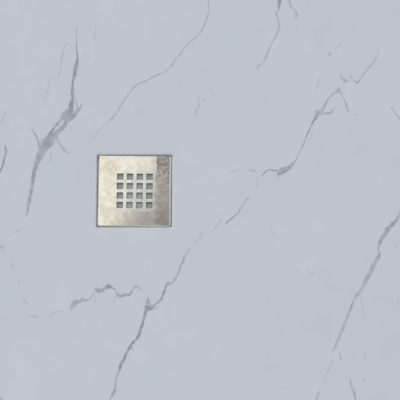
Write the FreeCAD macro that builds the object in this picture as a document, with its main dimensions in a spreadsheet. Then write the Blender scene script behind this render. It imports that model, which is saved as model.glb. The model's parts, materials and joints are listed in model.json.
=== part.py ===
import FreeCAD, Part
import math
import os
import re
import Sketcher

# Low shower tray of cast mineral resin with a gelcoat skin, and its square-grate waste.
#
# Millimetres, +Z up.  The origin is the centre of the flat underside that is bedded on the
# floor.  X runs along the tray's length, and the drain stands on the X axis near one end.
# The pieces of the outlet are drawn about the centre of its ball joint, with their own Z
# pointing out of the outlet, and are then laid over to point along -X.

Vector = FreeCAD.Vector

SIZES = {
    # Tray
    "tray_length": 1000,
    "tray_width": 800,
    "tray_height": 35,
    "tray_corner_radius": 4,
    "tray_edge_radius": 2.5,
    "skin_thickness": 1,
    "rim_width": 25,
    "pan_corner_radius": 40,
    "pan_fall": 7.2,
    "dish_width": 12.5,
    "dish_fall": 0.8,
    "margin_width": 2.5,
    "drain_from_end": 280,
    "recess_corner_radius": 3,
    "recess_edge_radius": 1.5,
    "rebate_depth": 2,
    "rebate_edge_gap": 2,
    # Grate
    "plate_size": 112,
    "plate_gap": 1.5,
    "plate_set_down": 0.8,
    "plate_corner_radius": 3.2,
    "plate_edge_radius": 2,
    "sheet_thickness": 1.5,
    "lip_floor_gap": 1.7,
    "grate_hole_size": 10,
    "grate_hole_radius": 0.8,
    "grate_hole_pitch": 15,
    "grate_hole_count": 4,
    "foot_count": 4,
    "foot_radius": 5,
    "foot_lip_gap": 1,
    # How the grate lies in the play that its recess leaves: turned, and off centre
    "grate_turn": -0.45,
    "grate_shift": 0.3,
    # Flange and its screws
    "flange_lip_gap": 2.5,
    "flange_seat_width": 7,
    "flange_thickness": 3,
    "flange_edge_radius": 1,
    "flange_plate_gap": 7.5,
    "flange_gasket_thickness": 1.5,
    "flange_gasket_edge_gap": 1,
    "ledge_depth": 11.5,
    "ledge_thickness": 2,
    "ledge_width": 3.7,
    "well_wall": 2,
    "spigot_wall": 2.2,
    "spigot_length": 10,
    "screw_count": 4,
    "screw_radius": 2,
    "screw_length": 18,
    "screw_head_radius": 3.75,
    "screw_head_depth": 2,
    "screw_hole_gap": 0.2,
    "insert_wall": 0.8,
    "insert_length": 9,
    "thread_gap": 0.1,
    # Dip tube and hair catcher
    "tube_wall": 3,
    "tube_gap": 0.8,
    "tube_rim_thickness": 1.5,
    "tube_end_chamfer": 1,
    "rim_gap": 0.3,
    "oring_section": 2.1,
    "oring_gap": 0.3,
    "oring_groove_side_gap": 0.2,
    "oring_drop": 6.5,
    "seal_depth": 30,
    "catcher_fit_gap": 0.4,
    "catcher_wall": 2.3,
    "catcher_collar_width": 3.4,
    "catcher_collar_thickness": 1.5,
    "catcher_ring_depth": 11.5,
    "catcher_disc_thickness": 1.6,
    "catcher_disc_overhang": 2,
    "catcher_plate_gap": 3,
    "catcher_grip_count": 2,
    "catcher_grip_radius": 9,
    "catcher_grip_depth": 3,
    "catcher_blade_count": 16,
    "catcher_blade_thickness": 1.6,
    "catcher_blade_gap": 3.6,
    "catcher_bar_count": 4,
    "catcher_bar_width": 2.4,
    "catcher_bar_height": 2,
    # Trap body
    "neck_gap": 0.7,
    "neck_wall": 3,
    "neck_drop": 3.5,
    "boss_radius": 4,
    "boss_length": 16,
    "boss_wall_overlap": 0.3,
    "boss_well_gap": 1.5,
    "boss_hole_end_gap": 1.5,
    "trap_gasket_thickness": 4,
    "trap_gasket_width": 12,
    "trap_gasket_edge_gap": 1,
    "collar_margin": 4,
    "collar_thickness": 4,
    "bowl_step": 8.7,
    "bowl_taper": 6,
    "bowl_wall": 3,
    "bowl_base_radius": 8,
    "bowl_floor_gap": 11,
    "collar_rib_count": 12,
    "collar_rib_thickness": 2,
    "collar_rib_height": 14,
    # Outlet and ball joint
    "outlet_nut_drop": 7.5,
    "outlet_bore": 16,
    "outlet_wall": 3.5,
    "stub_length": 5,
    "ball_radius": 26,
    "ball_gap": 0.3,
    "ball_mouth_wall": 2.8,
    "cup_gap": 0.4,
    "cup_wall": 3.6,
    "cup_floor_thickness": 4,
    "cup_step_width": 4.4,
    "cup_lip": 2,
    "ball_seal_near": 11,
    "ball_seal_length": 6,
    "nut_thread_gap": 0.2,
    "ball_nut_wall": 4.3,
    "ball_nut_skirt": 12,
    "ball_nut_shoulder": 4,
    "ball_nut_lip": 13,
    "ball_nut_lip_thickness": 2,
    "ball_nut_mouth_flare": 1.2,
    # Swivel tail and pipe coupling
    "tail_wall": 2,
    "tail_neck_end": 40,
    "tail_cone_length": 6,
    "pipe_radius": 20,
    "pipe_fit_gap": 0.15,
    "pipe_socket_length": 28,
    "pipe_socket_wall": 4.35,
    "pipe_seat_depth": 6,
    "pipe_seat_width": 3.2,
    "seal_bore_gap": 0.3,
    "cone_seal_gap": 0.4,
    "cone_seal_head": 3,
    "slip_ring_thickness": 1.5,
    "slip_ring_side_gap": 0.5,
    "coupling_nut_wall": 4.3,
    "coupling_nut_skirt": 14,
    "coupling_nut_lip": 4,
    "coupling_nut_bore_gap": 0.6,
    "nut_flute_count": 12,
    "nut_flute_radius": 3.2,
    "nut_flute_depth": 1.1,
}

# Places and fitted sizes that follow from the driving sizes above.
FOLLOWING = {
    "drain_x": "drain_from_end - tray_length / 2",
    "margin_z": "tray_height - pan_fall - dish_fall",
    "recess_half": "plate_size / 2 + plate_gap",
    "margin_half": "recess_half + margin_width",
    "dish_half": "margin_half + dish_width",
    "plate_top_z": "margin_z - plate_set_down",
    "plate_under_z": "plate_top_z - sheet_thickness",
    "flange_top_z": "plate_under_z - flange_plate_gap",
    "flange_under_z": "flange_top_z - flange_thickness",
    "recess_floor_z": "flange_under_z - flange_gasket_thickness",
    "lip_end_z": "recess_floor_z + lip_floor_gap",
    "lip_inner_half": "plate_size / 2 - sheet_thickness",
    "foot_place": "lip_inner_half - foot_lip_gap - foot_radius",
    "flange_radius": "lip_inner_half - flange_lip_gap",
    "waste_hole_radius": "flange_radius - flange_seat_width",
    "neck_radius": "waste_hole_radius - neck_gap",
    "neck_bore": "neck_radius - neck_wall",
    "screw_circle": "neck_radius - boss_radius - boss_wall_overlap",
    "well_outer_radius": "screw_circle - boss_radius - boss_well_gap",
    "well_radius": "well_outer_radius - well_wall",
    "ledge_top_z": "flange_top_z - ledge_depth",
    "ledge_under_z": "ledge_top_z - ledge_thickness",
    "ledge_bore": "well_radius - ledge_width",
    "spigot_end_z": "ledge_under_z - spigot_length",
    "tube_radius": "ledge_bore - tube_gap",
    "tube_bore": "tube_radius - tube_wall",
    "oring_centre_radius": "ledge_bore - oring_gap - oring_section / 2",
    "oring_groove_radius": "oring_centre_radius - oring_section / 2",
    "oring_z": "ledge_top_z - oring_drop",
    "catcher_ring_radius": "tube_bore - catcher_fit_gap",
    "catcher_ring_bore": "catcher_ring_radius - catcher_wall",
    "catcher_seat_z": "ledge_top_z + tube_rim_thickness",
    "catcher_collar_top_z": "catcher_seat_z + catcher_collar_thickness",
    "catcher_top_z": "plate_under_z - catcher_plate_gap",
    "catcher_disc_under_z": "catcher_top_z - catcher_disc_thickness",
    "catcher_disc_radius": "screw_circle + catcher_disc_overhang",
    "catcher_blade_radius": "well_radius - catcher_blade_gap",
    "catcher_end_z": "catcher_seat_z - catcher_ring_depth",
    "neck_top_z": "flange_under_z - neck_drop",
    "insert_radius": "screw_radius + insert_wall",
    "screw_end_z": "flange_top_z - screw_length",
    "trap_gasket_bore": "waste_hole_radius + trap_gasket_edge_gap",
    "trap_gasket_radius": "trap_gasket_bore + trap_gasket_width",
    "collar_radius": "trap_gasket_radius + collar_margin",
    "rebate_radius": "collar_radius + rebate_edge_gap",
    "collar_top_z": "rebate_depth - trap_gasket_thickness",
    "collar_under_z": "collar_top_z - collar_thickness",
    "bowl_radius": "neck_radius + bowl_step",
    "cup_bore": "ball_radius + cup_gap",
    "cup_radius": "cup_bore + cup_wall",
    "ball_nut_bore": "cup_radius + nut_thread_gap",
    "ball_nut_radius": "ball_nut_bore + ball_nut_wall",
    "outlet_z": "-ball_nut_radius - outlet_nut_drop",
    "tube_end_z": "outlet_z - outlet_bore - seal_depth",
    "bowl_floor_z": "tube_end_z - bowl_floor_gap",
    "bowl_under_z": "bowl_floor_z - bowl_wall",
    "cup_depth": "ball_radius + ball_gap",
    "cup_back": "bowl_radius + stub_length",
    "ball_from_drain": "cup_back + cup_floor_thickness + cup_depth",
    "ball_x": "drain_x - ball_from_drain",
    "ball_seal_far": "ball_seal_near + ball_seal_length",
    "tail_radius": "outlet_bore + tail_wall",
    "pipe_bore": "pipe_radius + pipe_fit_gap",
    "pipe_socket_radius": "pipe_bore + pipe_socket_wall",
    "pipe_stop": "tail_neck_end + tail_cone_length",
    "tail_end": "pipe_stop + pipe_socket_length",
    "cone_seal_end": "tail_end + cone_seal_head",
    "slip_ring_end": "cone_seal_end + slip_ring_thickness",
    "coupling_nut_bore": "pipe_socket_radius + nut_thread_gap",
    "coupling_nut_radius": "coupling_nut_bore + coupling_nut_wall",
    "coupling_nut_end": "slip_ring_end + coupling_nut_lip",
}

PARTS_FOLDER = "parts"


# ---------------------------------------------------------------- sheets and expressions

def make_sheets(doc):
    """Driving sizes as plain numbers in one sheet, what follows from them in a second."""
    driving = doc.addObject("Spreadsheet::Sheet", "Size")
    for row, (word, number) in enumerate(SIZES.items(), start=1):
        driving.set(f"A{row}", word)
        driving.set(f"B{row}", str(number))
        driving.setAlias(f"B{row}", word)
    doc.recompute()
    follow = doc.addObject("Spreadsheet::Sheet", "Follow")
    for row, (word, formula) in enumerate(FOLLOWING.items(), start=1):
        follow.set(f"A{row}", word)
        follow.setAlias(f"B{row}", word)
        follow.set(f"B{row}", "=" + cells(formula))
    doc.recompute()


def cells(formula):
    """The formula with each size's word replaced by its cell, such as Size.plate_size."""
    def cell(found):
        word = found.group(0)
        if word in SIZES:
            return "Size." + word
        if word in FOLLOWING:
            return "Follow." + word
        return word
    return re.sub(r"[a-z_]+", cell, formula)


def number(owner, formula):
    """The value that a formula has now, in millimetres."""
    return float(owner.Document.getObject("Size").evalExpression(cells(formula)))


def bind(owner, name, formula):
    owner.setExpression(name, cells(formula))


# ---------------------------------------------------------------- sketches

def new_body(doc, label):
    body = doc.addObject("PartDesign::Body", label)
    body.Label = label
    return body


def sketch_on(body, name, role, lift="0", across="0", along="0"):
    """Sketch on an origin plane, lifted along its normal and shifted in its own plane."""
    sketch = body.newObject("Sketcher::SketchObject", name)
    plane = [f for f in body.Origin.OriginFeatures if f.Role == role][0]
    sketch.AttachmentSupport = (plane, [""])
    sketch.MapMode = "FlatFace"
    bind(sketch, "AttachmentOffset.Base.x", across)
    bind(sketch, "AttachmentOffset.Base.y", along)
    bind(sketch, "AttachmentOffset.Base.z", lift)
    return sketch


def hold(sketch, kind, *places, formula):
    """Constraint of one kind whose value is bound to the formula."""
    index = sketch.addConstraint(Sketcher.Constraint(kind, *places, number(sketch, formula)))
    bind(sketch, f"Constraints[{index}]", formula)


def circle(sketch, radius, across="0", along="0"):
    """Circle with a bound radius and centre."""
    centre = Vector(number(sketch, across), number(sketch, along), 0)
    item = sketch.addGeometry(Part.Circle(centre, Vector(0, 0, 1), number(sketch, radius)))
    hold(sketch, "Radius", item, formula=radius)
    hold(sketch, "DistanceX", -1, 1, item, 3, formula=across)
    hold(sketch, "DistanceY", -1, 1, item, 3, formula=along)


def outline(sketch, corners, arcs=None):
    """Closed outline through the corners (across, along).

    arcs gives, for the stretch after a corner, its radius about the sketch's origin.  An
    end of such an arc has None for the coordinate that the arc settles.
    """
    arcs = arcs or {}
    points = [corner_point(sketch, corners, index, arcs) for index in range(len(corners))]
    for index, start in enumerate(points):
        end = points[(index + 1) % len(points)]
        if index in arcs:
            sketch.addGeometry(arc_about_origin(start, end))
        else:
            sketch.addGeometry(Part.LineSegment(start, end))
    ends = [end_numbers(points, index, arcs) for index in range(len(points))]
    for index, (first, second) in enumerate(ends):
        following = (index + 1) % len(points)
        sketch.addConstraint(
            Sketcher.Constraint("Coincident", index, second, following, ends[following][0]))
        across, along = corners[index]
        if across is not None:
            hold(sketch, "DistanceX", -1, 1, index, first, formula=across)
        if along is not None:
            hold(sketch, "DistanceY", -1, 1, index, first, formula=along)
        if index in arcs:
            sketch.addConstraint(Sketcher.Constraint("Coincident", index, 3, -1, 1))
            hold(sketch, "Radius", index, formula=arcs[index])


def corner_point(sketch, corners, index, arcs):
    """Where a corner starts: from its formulas, or from the arc that settles it."""
    across, along = corners[index]
    if across is not None and along is not None:
        return Vector(number(sketch, across), number(sketch, along), 0)
    radius = number(sketch, arcs.get(index) or arcs[(index - 1) % len(corners)])
    if across is None:
        height = number(sketch, along)
        return Vector(math.sqrt(radius ** 2 - height ** 2), height, 0)
    reach = number(sketch, across)
    rise = math.sqrt(radius ** 2 - reach ** 2)
    return Vector(reach, rise if index - 1 in arcs else -rise, 0)


def arc_about_origin(start, end):
    """Arc about the origin between two points, the short way round."""
    middle = (start + end).normalize() * start.Length
    return Part.Arc(start, middle, end)


def end_numbers(points, index, arcs):
    """Sketch numbers of a stretch's two ends: an arc that runs clockwise is turned round."""
    if index not in arcs:
        return 1, 2
    start = points[index]
    end = points[(index + 1) % len(points)]
    anticlockwise = start.cross(end).z > 0
    return (1, 2) if anticlockwise else (2, 1)


def rounded_rectangle(sketch, half_across, half_along, radius):
    """Rectangle about the sketch's origin with four equal rounded corners."""
    a = number(sketch, half_across)
    b = number(sketch, half_along)
    r = number(sketch, radius)
    for turn in range(4):
        reach, side = (a, b) if turn % 2 == 0 else (b, a)
        spin = FreeCAD.Rotation(Vector(0, 0, 1), 90 * turn)
        corner = Vector(reach - r, side - r, 0)
        edge = Part.LineSegment(spin.multVec(Vector(reach, r - side, 0)),
                                spin.multVec(Vector(reach, side - r, 0)))
        bend = Part.ArcOfCircle(
            Part.Circle(spin.multVec(corner), Vector(0, 0, 1), r),
            math.radians(90 * turn), math.radians(90 * turn + 90))
        sketch.addGeometry(edge)
        sketch.addGeometry(bend)
    for item in range(8):
        sketch.addConstraint(Sketcher.Constraint("Tangent", item, 2, (item + 1) % 8, 1))
    for item in (0, 4):
        sketch.addConstraint(Sketcher.Constraint("Vertical", item))
    for item in (2, 6):
        sketch.addConstraint(Sketcher.Constraint("Horizontal", item))
    for item in (3, 5, 7):
        sketch.addConstraint(Sketcher.Constraint("Equal", 1, item))
    hold(sketch, "Radius", 1, formula=radius)
    hold(sketch, "DistanceX", -1, 1, 0, 1, formula=half_across)
    hold(sketch, "DistanceX", 4, 1, -1, 1, formula=half_across)
    hold(sketch, "DistanceY", -1, 1, 2, 1, formula=half_along)
    hold(sketch, "DistanceY", 6, 1, -1, 1, formula=half_along)


# ---------------------------------------------------------------- features

def pad(body, name, sketch, length, down=False):
    feature = body.newObject("PartDesign::Pad", name)
    feature.Profile = sketch
    feature.Reversed = down
    bind(feature, "Length", length)
    return feature


def pocket(body, name, sketch, length, up=False):
    """Cut from the sketch downwards, or upwards, by the length."""
    feature = body.newObject("PartDesign::Pocket", name)
    feature.Profile = sketch
    feature.Reversed = up
    bind(feature, "Length", length)
    return feature


def revolve(body, name, sketch, axis="V_Axis"):
    feature = body.newObject("PartDesign::Revolution", name)
    feature.Profile = sketch
    feature.ReferenceAxis = (sketch, [axis])
    feature.Angle = 360
    return feature


def groove(body, name, sketch, axis="V_Axis"):
    feature = body.newObject("PartDesign::Groove", name)
    feature.Profile = sketch
    feature.ReferenceAxis = (sketch, [axis])
    feature.Angle = 360
    return feature


def cut_loft(body, name, lower, upper):
    """Hollow with straight sides from one outline up to a wider one."""
    feature = body.newObject("PartDesign::SubtractiveLoft", name)
    feature.Profile = lower
    feature.Sections = [upper]
    feature.Ruled = True
    return feature


def polar(body, name, features, count):
    """Repeats of the features round the body's own Z axis."""
    body.Document.recompute()
    axis = [f for f in body.Origin.OriginFeatures if f.Role == "Z_Axis"][0]
    feature = body.newObject("PartDesign::PolarPattern", name)
    feature.Originals = features
    feature.Axis = (axis, [""])
    feature.Angle = 360
    bind(feature, "Occurrences", count)
    body.Tip = feature
    return feature


def grid(body, name, features, count, pitch):
    """Repeats of the features in a square grid along the body's own X and Y."""
    body.Document.recompute()
    many = body.newObject("PartDesign::MultiTransform", name)
    many.Originals = features
    rows = []
    for role in ("X_Axis", "Y_Axis"):
        axis = [f for f in body.Origin.OriginFeatures if f.Role == role][0]
        row = body.newObject("PartDesign::LinearPattern", name + "_" + role[0].lower())
        row.Direction = (axis, [""])
        row.Mode = "Spacing"
        bind(row, "Offset", pitch)
        bind(row, "Occurrences", count)
        rows.append(row)
    many.Transformations = rows
    body.Tip = many
    return many


def round_edges(body, name, base, radius, chosen):
    """Fillet on the edges of the base feature that the rule picks."""
    body.Document.recompute()
    names = [f"Edge{index}" for index, edge in enumerate(base.Shape.Edges, start=1) if chosen(edge)]
    feature = body.newObject("PartDesign::Fillet", name)
    feature.Base = (base, names)
    bind(feature, "Radius", radius)
    return feature


def at_height(height, reach=None):
    """Rule that picks edges lying level at a height, and within a reach of the Z axis."""
    def chosen(edge):
        box = edge.BoundBox
        level = abs(box.ZMin - height) < 1e-4 and abs(box.ZMax - height) < 1e-4
        far = max(abs(box.XMin), abs(box.XMax), abs(box.YMin), abs(box.YMax))
        return level and (reach is None or abs(far - reach) < 1e-4)
    return chosen


def stand_at_drain(body):
    bind(body, "Placement.Base.x", "drain_x")


def lay_in_recess(body):
    """Stand a piece of the grate over the drain, turned and off centre as it lies."""
    body.Placement = FreeCAD.Placement(Vector(0, 0, 0), FreeCAD.Rotation(Vector(0, 0, 1), 1))
    bind(body, "Placement.Rotation.Angle", "grate_turn")
    bind(body, "Placement.Base.x", "drain_x + grate_shift")


def lay_at_outlet(body):
    """Turn a piece of the outlet from its own +Z to the tray's -X, at the ball's centre."""
    body.Placement = FreeCAD.Placement(Vector(0, 0, 0), FreeCAD.Rotation(Vector(0, 1, 0), -90))
    bind(body, "Placement.Base.x", "ball_x")
    bind(body, "Placement.Base.z", "outlet_z")


# ---------------------------------------------------------------- tray

def tray_form(doc, label, inset):
    """Tray with its falls, dish, recess and waste hole, all set in from the faces.

    A shallow rebate in the underside takes the trap's gasket.  The body's own origin is
    under the drain, so the outline is shifted the other way.
    """
    body = new_body(doc, label)
    outer = sketch_on(body, label + "_outline", "XY_Plane", across="-drain_x")
    rounded_rectangle(outer, f"tray_length / 2 - {inset}", f"tray_width / 2 - {inset}",
                      f"tray_corner_radius - {inset}")
    slab = pad(body, label + "_slab", outer, f"tray_height - {inset}")
    round_edges(body, label + "_edge", slab, f"tray_edge_radius - {inset}",
                at_height(number(body, f"tray_height - {inset}")))

    rim = sketch_on(body, label + "_pan_rim", "XY_Plane",
                    lift=f"tray_height - {inset}", across="-drain_x")
    rounded_rectangle(rim, "tray_length / 2 - rim_width", "tray_width / 2 - rim_width",
                      "pan_corner_radius")
    dish = sketch_on(body, label + "_dish_rim", "XY_Plane",
                     lift=f"margin_z + dish_fall - {inset}")
    rounded_rectangle(dish, "dish_half", "dish_half",
                      "recess_corner_radius + margin_width + dish_width")
    cut_loft(body, label + "_falls", dish, rim)

    above = sketch_on(body, label + "_dish_top", "XY_Plane",
                      lift=f"margin_z + dish_fall - {inset}")
    rounded_rectangle(above, "dish_half", "dish_half",
                      "recess_corner_radius + margin_width + dish_width")
    margin = sketch_on(body, label + "_margin", "XY_Plane", lift=f"margin_z - {inset}")
    rounded_rectangle(margin, "margin_half", "margin_half", "recess_corner_radius + margin_width")
    cut_loft(body, label + "_dish", margin, above)

    recess = sketch_on(body, label + "_recess", "XY_Plane", lift=f"margin_z - {inset}")
    rounded_rectangle(recess, f"recess_half + {inset}", f"recess_half + {inset}",
                      f"recess_corner_radius + {inset}")
    sunk = pocket(body, label + "_recess_cut", recess, "margin_z - recess_floor_z")
    round_edges(body, label + "_recess_edge", sunk, f"recess_edge_radius - {inset}",
                at_height(number(body, f"margin_z - {inset}"),
                          number(body, f"recess_half + {inset}")))

    hole = sketch_on(body, label + "_hole", "XY_Plane", lift="tray_height")
    circle(hole, "waste_hole_radius")
    pocket(body, label + "_hole_cut", hole, "tray_height")
    rebate = sketch_on(body, label + "_rebate", "XY_Plane")
    circle(rebate, "rebate_radius")
    pocket(body, label + "_rebate_cut", rebate, "rebate_depth", up=True)
    stand_at_drain(body)
    return body


def tray(doc):
    """Cast core, and the skin as what the finished tray has beyond it."""
    core = tray_form(doc, "tray_core", "skin_thickness")
    finished = tray_form(doc, "finished_tray", "0")
    skin = doc.addObject("Part::Cut", "gelcoat_skin")
    skin.Label = "gelcoat_skin"
    skin.Base = finished
    skin.Tool = core
    return [core, skin]


# ---------------------------------------------------------------- grate

def grate_plate(doc):
    """Pressed plate: a shallow tray upside down, with square holes in a grid."""
    body = new_body(doc, "grate_plate")
    outer = sketch_on(body, "plate_outline", "XY_Plane", lift="plate_top_z")
    rounded_rectangle(outer, "plate_size / 2", "plate_size / 2", "plate_corner_radius")
    blank = pad(body, "plate_blank", outer, "plate_top_z - lip_end_z", down=True)
    round_edges(body, "plate_edge", blank, "plate_edge_radius",
                at_height(number(body, "plate_top_z")))
    inside = sketch_on(body, "plate_inside", "XY_Plane", lift="lip_end_z")
    rounded_rectangle(inside, "lip_inner_half", "lip_inner_half",
                      "plate_corner_radius - sheet_thickness")
    pocket(body, "plate_hollow", inside, "plate_under_z - lip_end_z", up=True)
    first = sketch_on(body, "grate_hole_outline", "XY_Plane", lift="plate_top_z",
                      across="-grate_hole_pitch * (grate_hole_count - 1) / 2",
                      along="-grate_hole_pitch * (grate_hole_count - 1) / 2")
    rounded_rectangle(first, "grate_hole_size / 2", "grate_hole_size / 2", "grate_hole_radius")
    hole = pocket(body, "grate_hole", first, "sheet_thickness")
    grid(body, "grate_holes", [hole], "grate_hole_count", "grate_hole_pitch")
    lay_in_recess(body)
    return body


def grate_feet(doc):
    """Four rubber feet glued under the plate's corners, standing on the recess floor."""
    body = new_body(doc, "grate_feet")
    sketch = sketch_on(body, "foot_outline", "XY_Plane", lift="recess_floor_z")
    circle(sketch, "foot_radius", "foot_place", "foot_place")
    foot = pad(body, "foot", sketch, "plate_under_z - recess_floor_z")
    polar(body, "feet", [foot], "foot_count")
    lay_in_recess(body)
    return body


# ---------------------------------------------------------------- flange

def waste_flange(doc):
    """Clamping flange with a well, the ledge that carries the dip tube, and its spigot."""
    body = new_body(doc, "waste_flange")
    section = sketch_on(body, "flange_section", "XZ_Plane")
    outline(section, [
        ("flange_radius", "flange_under_z"),
        ("flange_radius", "flange_top_z"),
        ("well_radius", "flange_top_z"),
        ("well_radius", "ledge_top_z"),
        ("ledge_bore", "ledge_top_z"),
        ("ledge_bore", "spigot_end_z"),
        ("ledge_bore + spigot_wall", "spigot_end_z"),
        ("ledge_bore + spigot_wall", "ledge_under_z"),
        ("well_outer_radius", "ledge_under_z"),
        ("well_outer_radius", "flange_under_z"),
    ])
    turned = revolve(body, "flange_form", section)
    round_edges(body, "flange_edges", turned, "flange_edge_radius",
                at_height(number(body, "flange_top_z")))
    seat = sketch_on(body, "screw_seat_section", "XZ_Plane", across="screw_circle")
    outline(seat, [
        ("0", "flange_under_z - thread_gap"),
        ("screw_radius + screw_hole_gap", "flange_under_z - thread_gap"),
        ("screw_radius + screw_hole_gap", "flange_top_z - screw_head_depth"),
        ("screw_head_radius + screw_hole_gap", "flange_top_z"),
        ("screw_head_radius + screw_hole_gap", "flange_top_z + flange_edge_radius"),
        ("0", "flange_top_z + flange_edge_radius"),
    ])
    hole = groove(body, "screw_seat", seat)
    polar(body, "screw_seats", [hole], "screw_count")
    stand_at_drain(body)
    return body


def flat_ring(doc, label, bore, radius, low, high):
    """Flat ring round the drain's axis."""
    body = new_body(doc, label)
    section = sketch_on(body, label + "_section", "XZ_Plane")
    outline(section, [(bore, low), (radius, low), (radius, high), (bore, high)])
    revolve(body, label + "_form", section)
    stand_at_drain(body)
    return body


def flange_screws(doc):
    """Countersunk screws, one over each of the trap's bosses."""
    body = new_body(doc, "flange_screws")
    section = sketch_on(body, "screw_section", "XZ_Plane", across="screw_circle")
    outline(section, [
        ("0", "screw_end_z"),
        ("screw_radius", "screw_end_z"),
        ("screw_radius", "flange_top_z - screw_head_depth"),
        ("screw_head_radius", "flange_top_z"),
        ("0", "flange_top_z"),
    ])
    screw = revolve(body, "screw", section)
    polar(body, "screws", [screw], "screw_count")
    stand_at_drain(body)
    return body


def threaded_inserts(doc):
    """Brass inserts moulded into the tops of the bosses."""
    body = new_body(doc, "threaded_inserts")
    section = sketch_on(body, "insert_section", "XZ_Plane", across="screw_circle")
    outline(section, [
        ("screw_radius + thread_gap", "neck_top_z - insert_length"),
        ("insert_radius", "neck_top_z - insert_length"),
        ("insert_radius", "neck_top_z"),
        ("screw_radius + thread_gap", "neck_top_z"),
    ])
    insert = revolve(body, "insert", section)
    polar(body, "inserts", [insert], "screw_count")
    stand_at_drain(body)
    return body


# ---------------------------------------------------------------- dip tube and catcher

def dip_tube(doc):
    """Tube hung by its rim on the flange's ledge, with a groove for its O-ring."""
    body = new_body(doc, "dip_tube")
    groove_half = "(oring_section / 2 + oring_groove_side_gap)"
    section = sketch_on(body, "tube_section", "XZ_Plane")
    outline(section, [
        ("tube_bore", "tube_end_z"),
        ("tube_radius - tube_end_chamfer", "tube_end_z"),
        ("tube_radius", "tube_end_z + 2 * tube_end_chamfer"),
        ("tube_radius", f"oring_z - {groove_half}"),
        ("oring_groove_radius", f"oring_z - {groove_half}"),
        ("oring_groove_radius", f"oring_z + {groove_half}"),
        ("tube_radius", f"oring_z + {groove_half}"),
        ("tube_radius", "ledge_top_z"),
        ("well_radius - rim_gap", "ledge_top_z"),
        ("well_radius - rim_gap", "catcher_seat_z"),
        ("tube_bore", "catcher_seat_z"),
    ])
    revolve(body, "tube_form", section)
    stand_at_drain(body)
    return body


def dip_tube_oring(doc):
    ring = doc.addObject("Part::Torus", "dip_tube_oring")
    ring.Label = "dip_tube_oring"
    bind(ring, "Radius1", "oring_centre_radius")
    bind(ring, "Radius2", "oring_section / 2")
    bind(ring, "Placement.Base.x", "drain_x")
    bind(ring, "Placement.Base.z", "oring_z")
    return ring


def hair_catcher(doc):
    """Ring that drops into the dip tube, with a comb of blades under a wide cover disc.

    The disc reaches over the flange and its screws, and two notches in its rim give the
    fingers a grip.
    """
    body = new_body(doc, "hair_catcher")
    ring = sketch_on(body, "catcher_ring_section", "XZ_Plane")
    outline(ring, [
        ("catcher_ring_bore", "catcher_end_z"),
        ("catcher_ring_radius", "catcher_end_z"),
        ("catcher_ring_radius", "catcher_seat_z"),
        ("catcher_ring_radius + catcher_collar_width", "catcher_seat_z"),
        ("catcher_ring_radius + catcher_collar_width", "catcher_collar_top_z"),
        ("catcher_ring_bore", "catcher_collar_top_z"),
    ])
    revolve(body, "catcher_ring", ring)
    blade_half = "catcher_blade_thickness / 2"
    plan = sketch_on(body, "catcher_blade_plan", "XY_Plane", lift="catcher_collar_top_z")
    outline(plan, [
        ("catcher_ring_bore", "-" + blade_half),
        ("catcher_blade_radius", "-" + blade_half),
        ("catcher_blade_radius", blade_half),
        ("catcher_ring_bore", blade_half),
    ])
    blade = pad(body, "catcher_blade", plan, "catcher_disc_under_z - catcher_collar_top_z")
    polar(body, "catcher_blades", [blade], "catcher_blade_count")
    cover = sketch_on(body, "catcher_cover_section", "XZ_Plane")
    outline(cover, [
        ("0", "catcher_disc_under_z"),
        ("catcher_disc_radius", "catcher_disc_under_z"),
        ("catcher_disc_radius", "catcher_top_z - catcher_disc_thickness / 2"),
        ("catcher_disc_radius - catcher_disc_thickness / 2", "catcher_top_z"),
        ("0", "catcher_top_z"),
    ])
    revolve(body, "catcher_cover", cover)
    grip = sketch_on(body, "catcher_grip_plan", "XY_Plane", lift="catcher_top_z")
    circle(grip, "catcher_grip_radius",
           "catcher_disc_radius + catcher_grip_radius - catcher_grip_depth")
    notch = pocket(body, "catcher_grip", grip, "catcher_disc_thickness")
    polar(body, "catcher_grips", [notch], "catcher_grip_count")
    bar = sketch_on(body, "catcher_bar_plan", "XY_Plane", lift="catcher_end_z")
    outline(bar, [
        ("0", "-catcher_bar_width / 2"),
        ("catcher_ring_bore + catcher_wall / 2", "-catcher_bar_width / 2"),
        ("catcher_ring_bore + catcher_wall / 2", "catcher_bar_width / 2"),
        ("0", "catcher_bar_width / 2"),
    ])
    arm = pad(body, "catcher_bar", bar, "catcher_bar_height")
    polar(body, "catcher_bars", [arm], "catcher_bar_count")
    stand_at_drain(body)
    return body


# ---------------------------------------------------------------- trap

def trap_body(doc):
    """Moulded bowl with neck, collar and bosses, and an outlet that ends in a ball cup."""
    body = new_body(doc, "trap_body")
    trap_outside(body)
    trap_collar_ribs(body)
    trap_inside(body)
    trap_bosses(body)
    stand_at_drain(body)
    return body


def trap_outside(body):
    form = sketch_on(body, "trap_section", "XZ_Plane")
    outline(form, [
        ("0", "bowl_under_z"),
        ("bowl_radius - bowl_taper", "bowl_under_z"),
        ("bowl_radius", "collar_under_z"),
        ("collar_radius", "collar_under_z"),
        ("collar_radius", "collar_top_z"),
        ("neck_radius", "collar_top_z"),
        ("neck_radius", "neck_top_z"),
        ("0", "neck_top_z"),
    ])
    turned = revolve(body, "trap_form", form)
    round_edges(body, "trap_base_edge", turned, "bowl_base_radius",
                at_height(number(body, "bowl_under_z")))
    spout = sketch_on(body, "spout_section", "XZ_Plane", along="outlet_z")
    outline(spout, [
        ("-neck_bore + bowl_wall", "0"),
        ("-neck_bore + bowl_wall", "outlet_bore + outlet_wall"),
        ("-cup_back", "outlet_bore + outlet_wall"),
        ("-cup_back - cup_floor_thickness", "cup_radius"),
        ("-ball_from_drain - cup_lip", "cup_radius"),
        ("-ball_from_drain - cup_lip", "0"),
    ])
    revolve(body, "spout", spout, "H_Axis")


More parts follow.
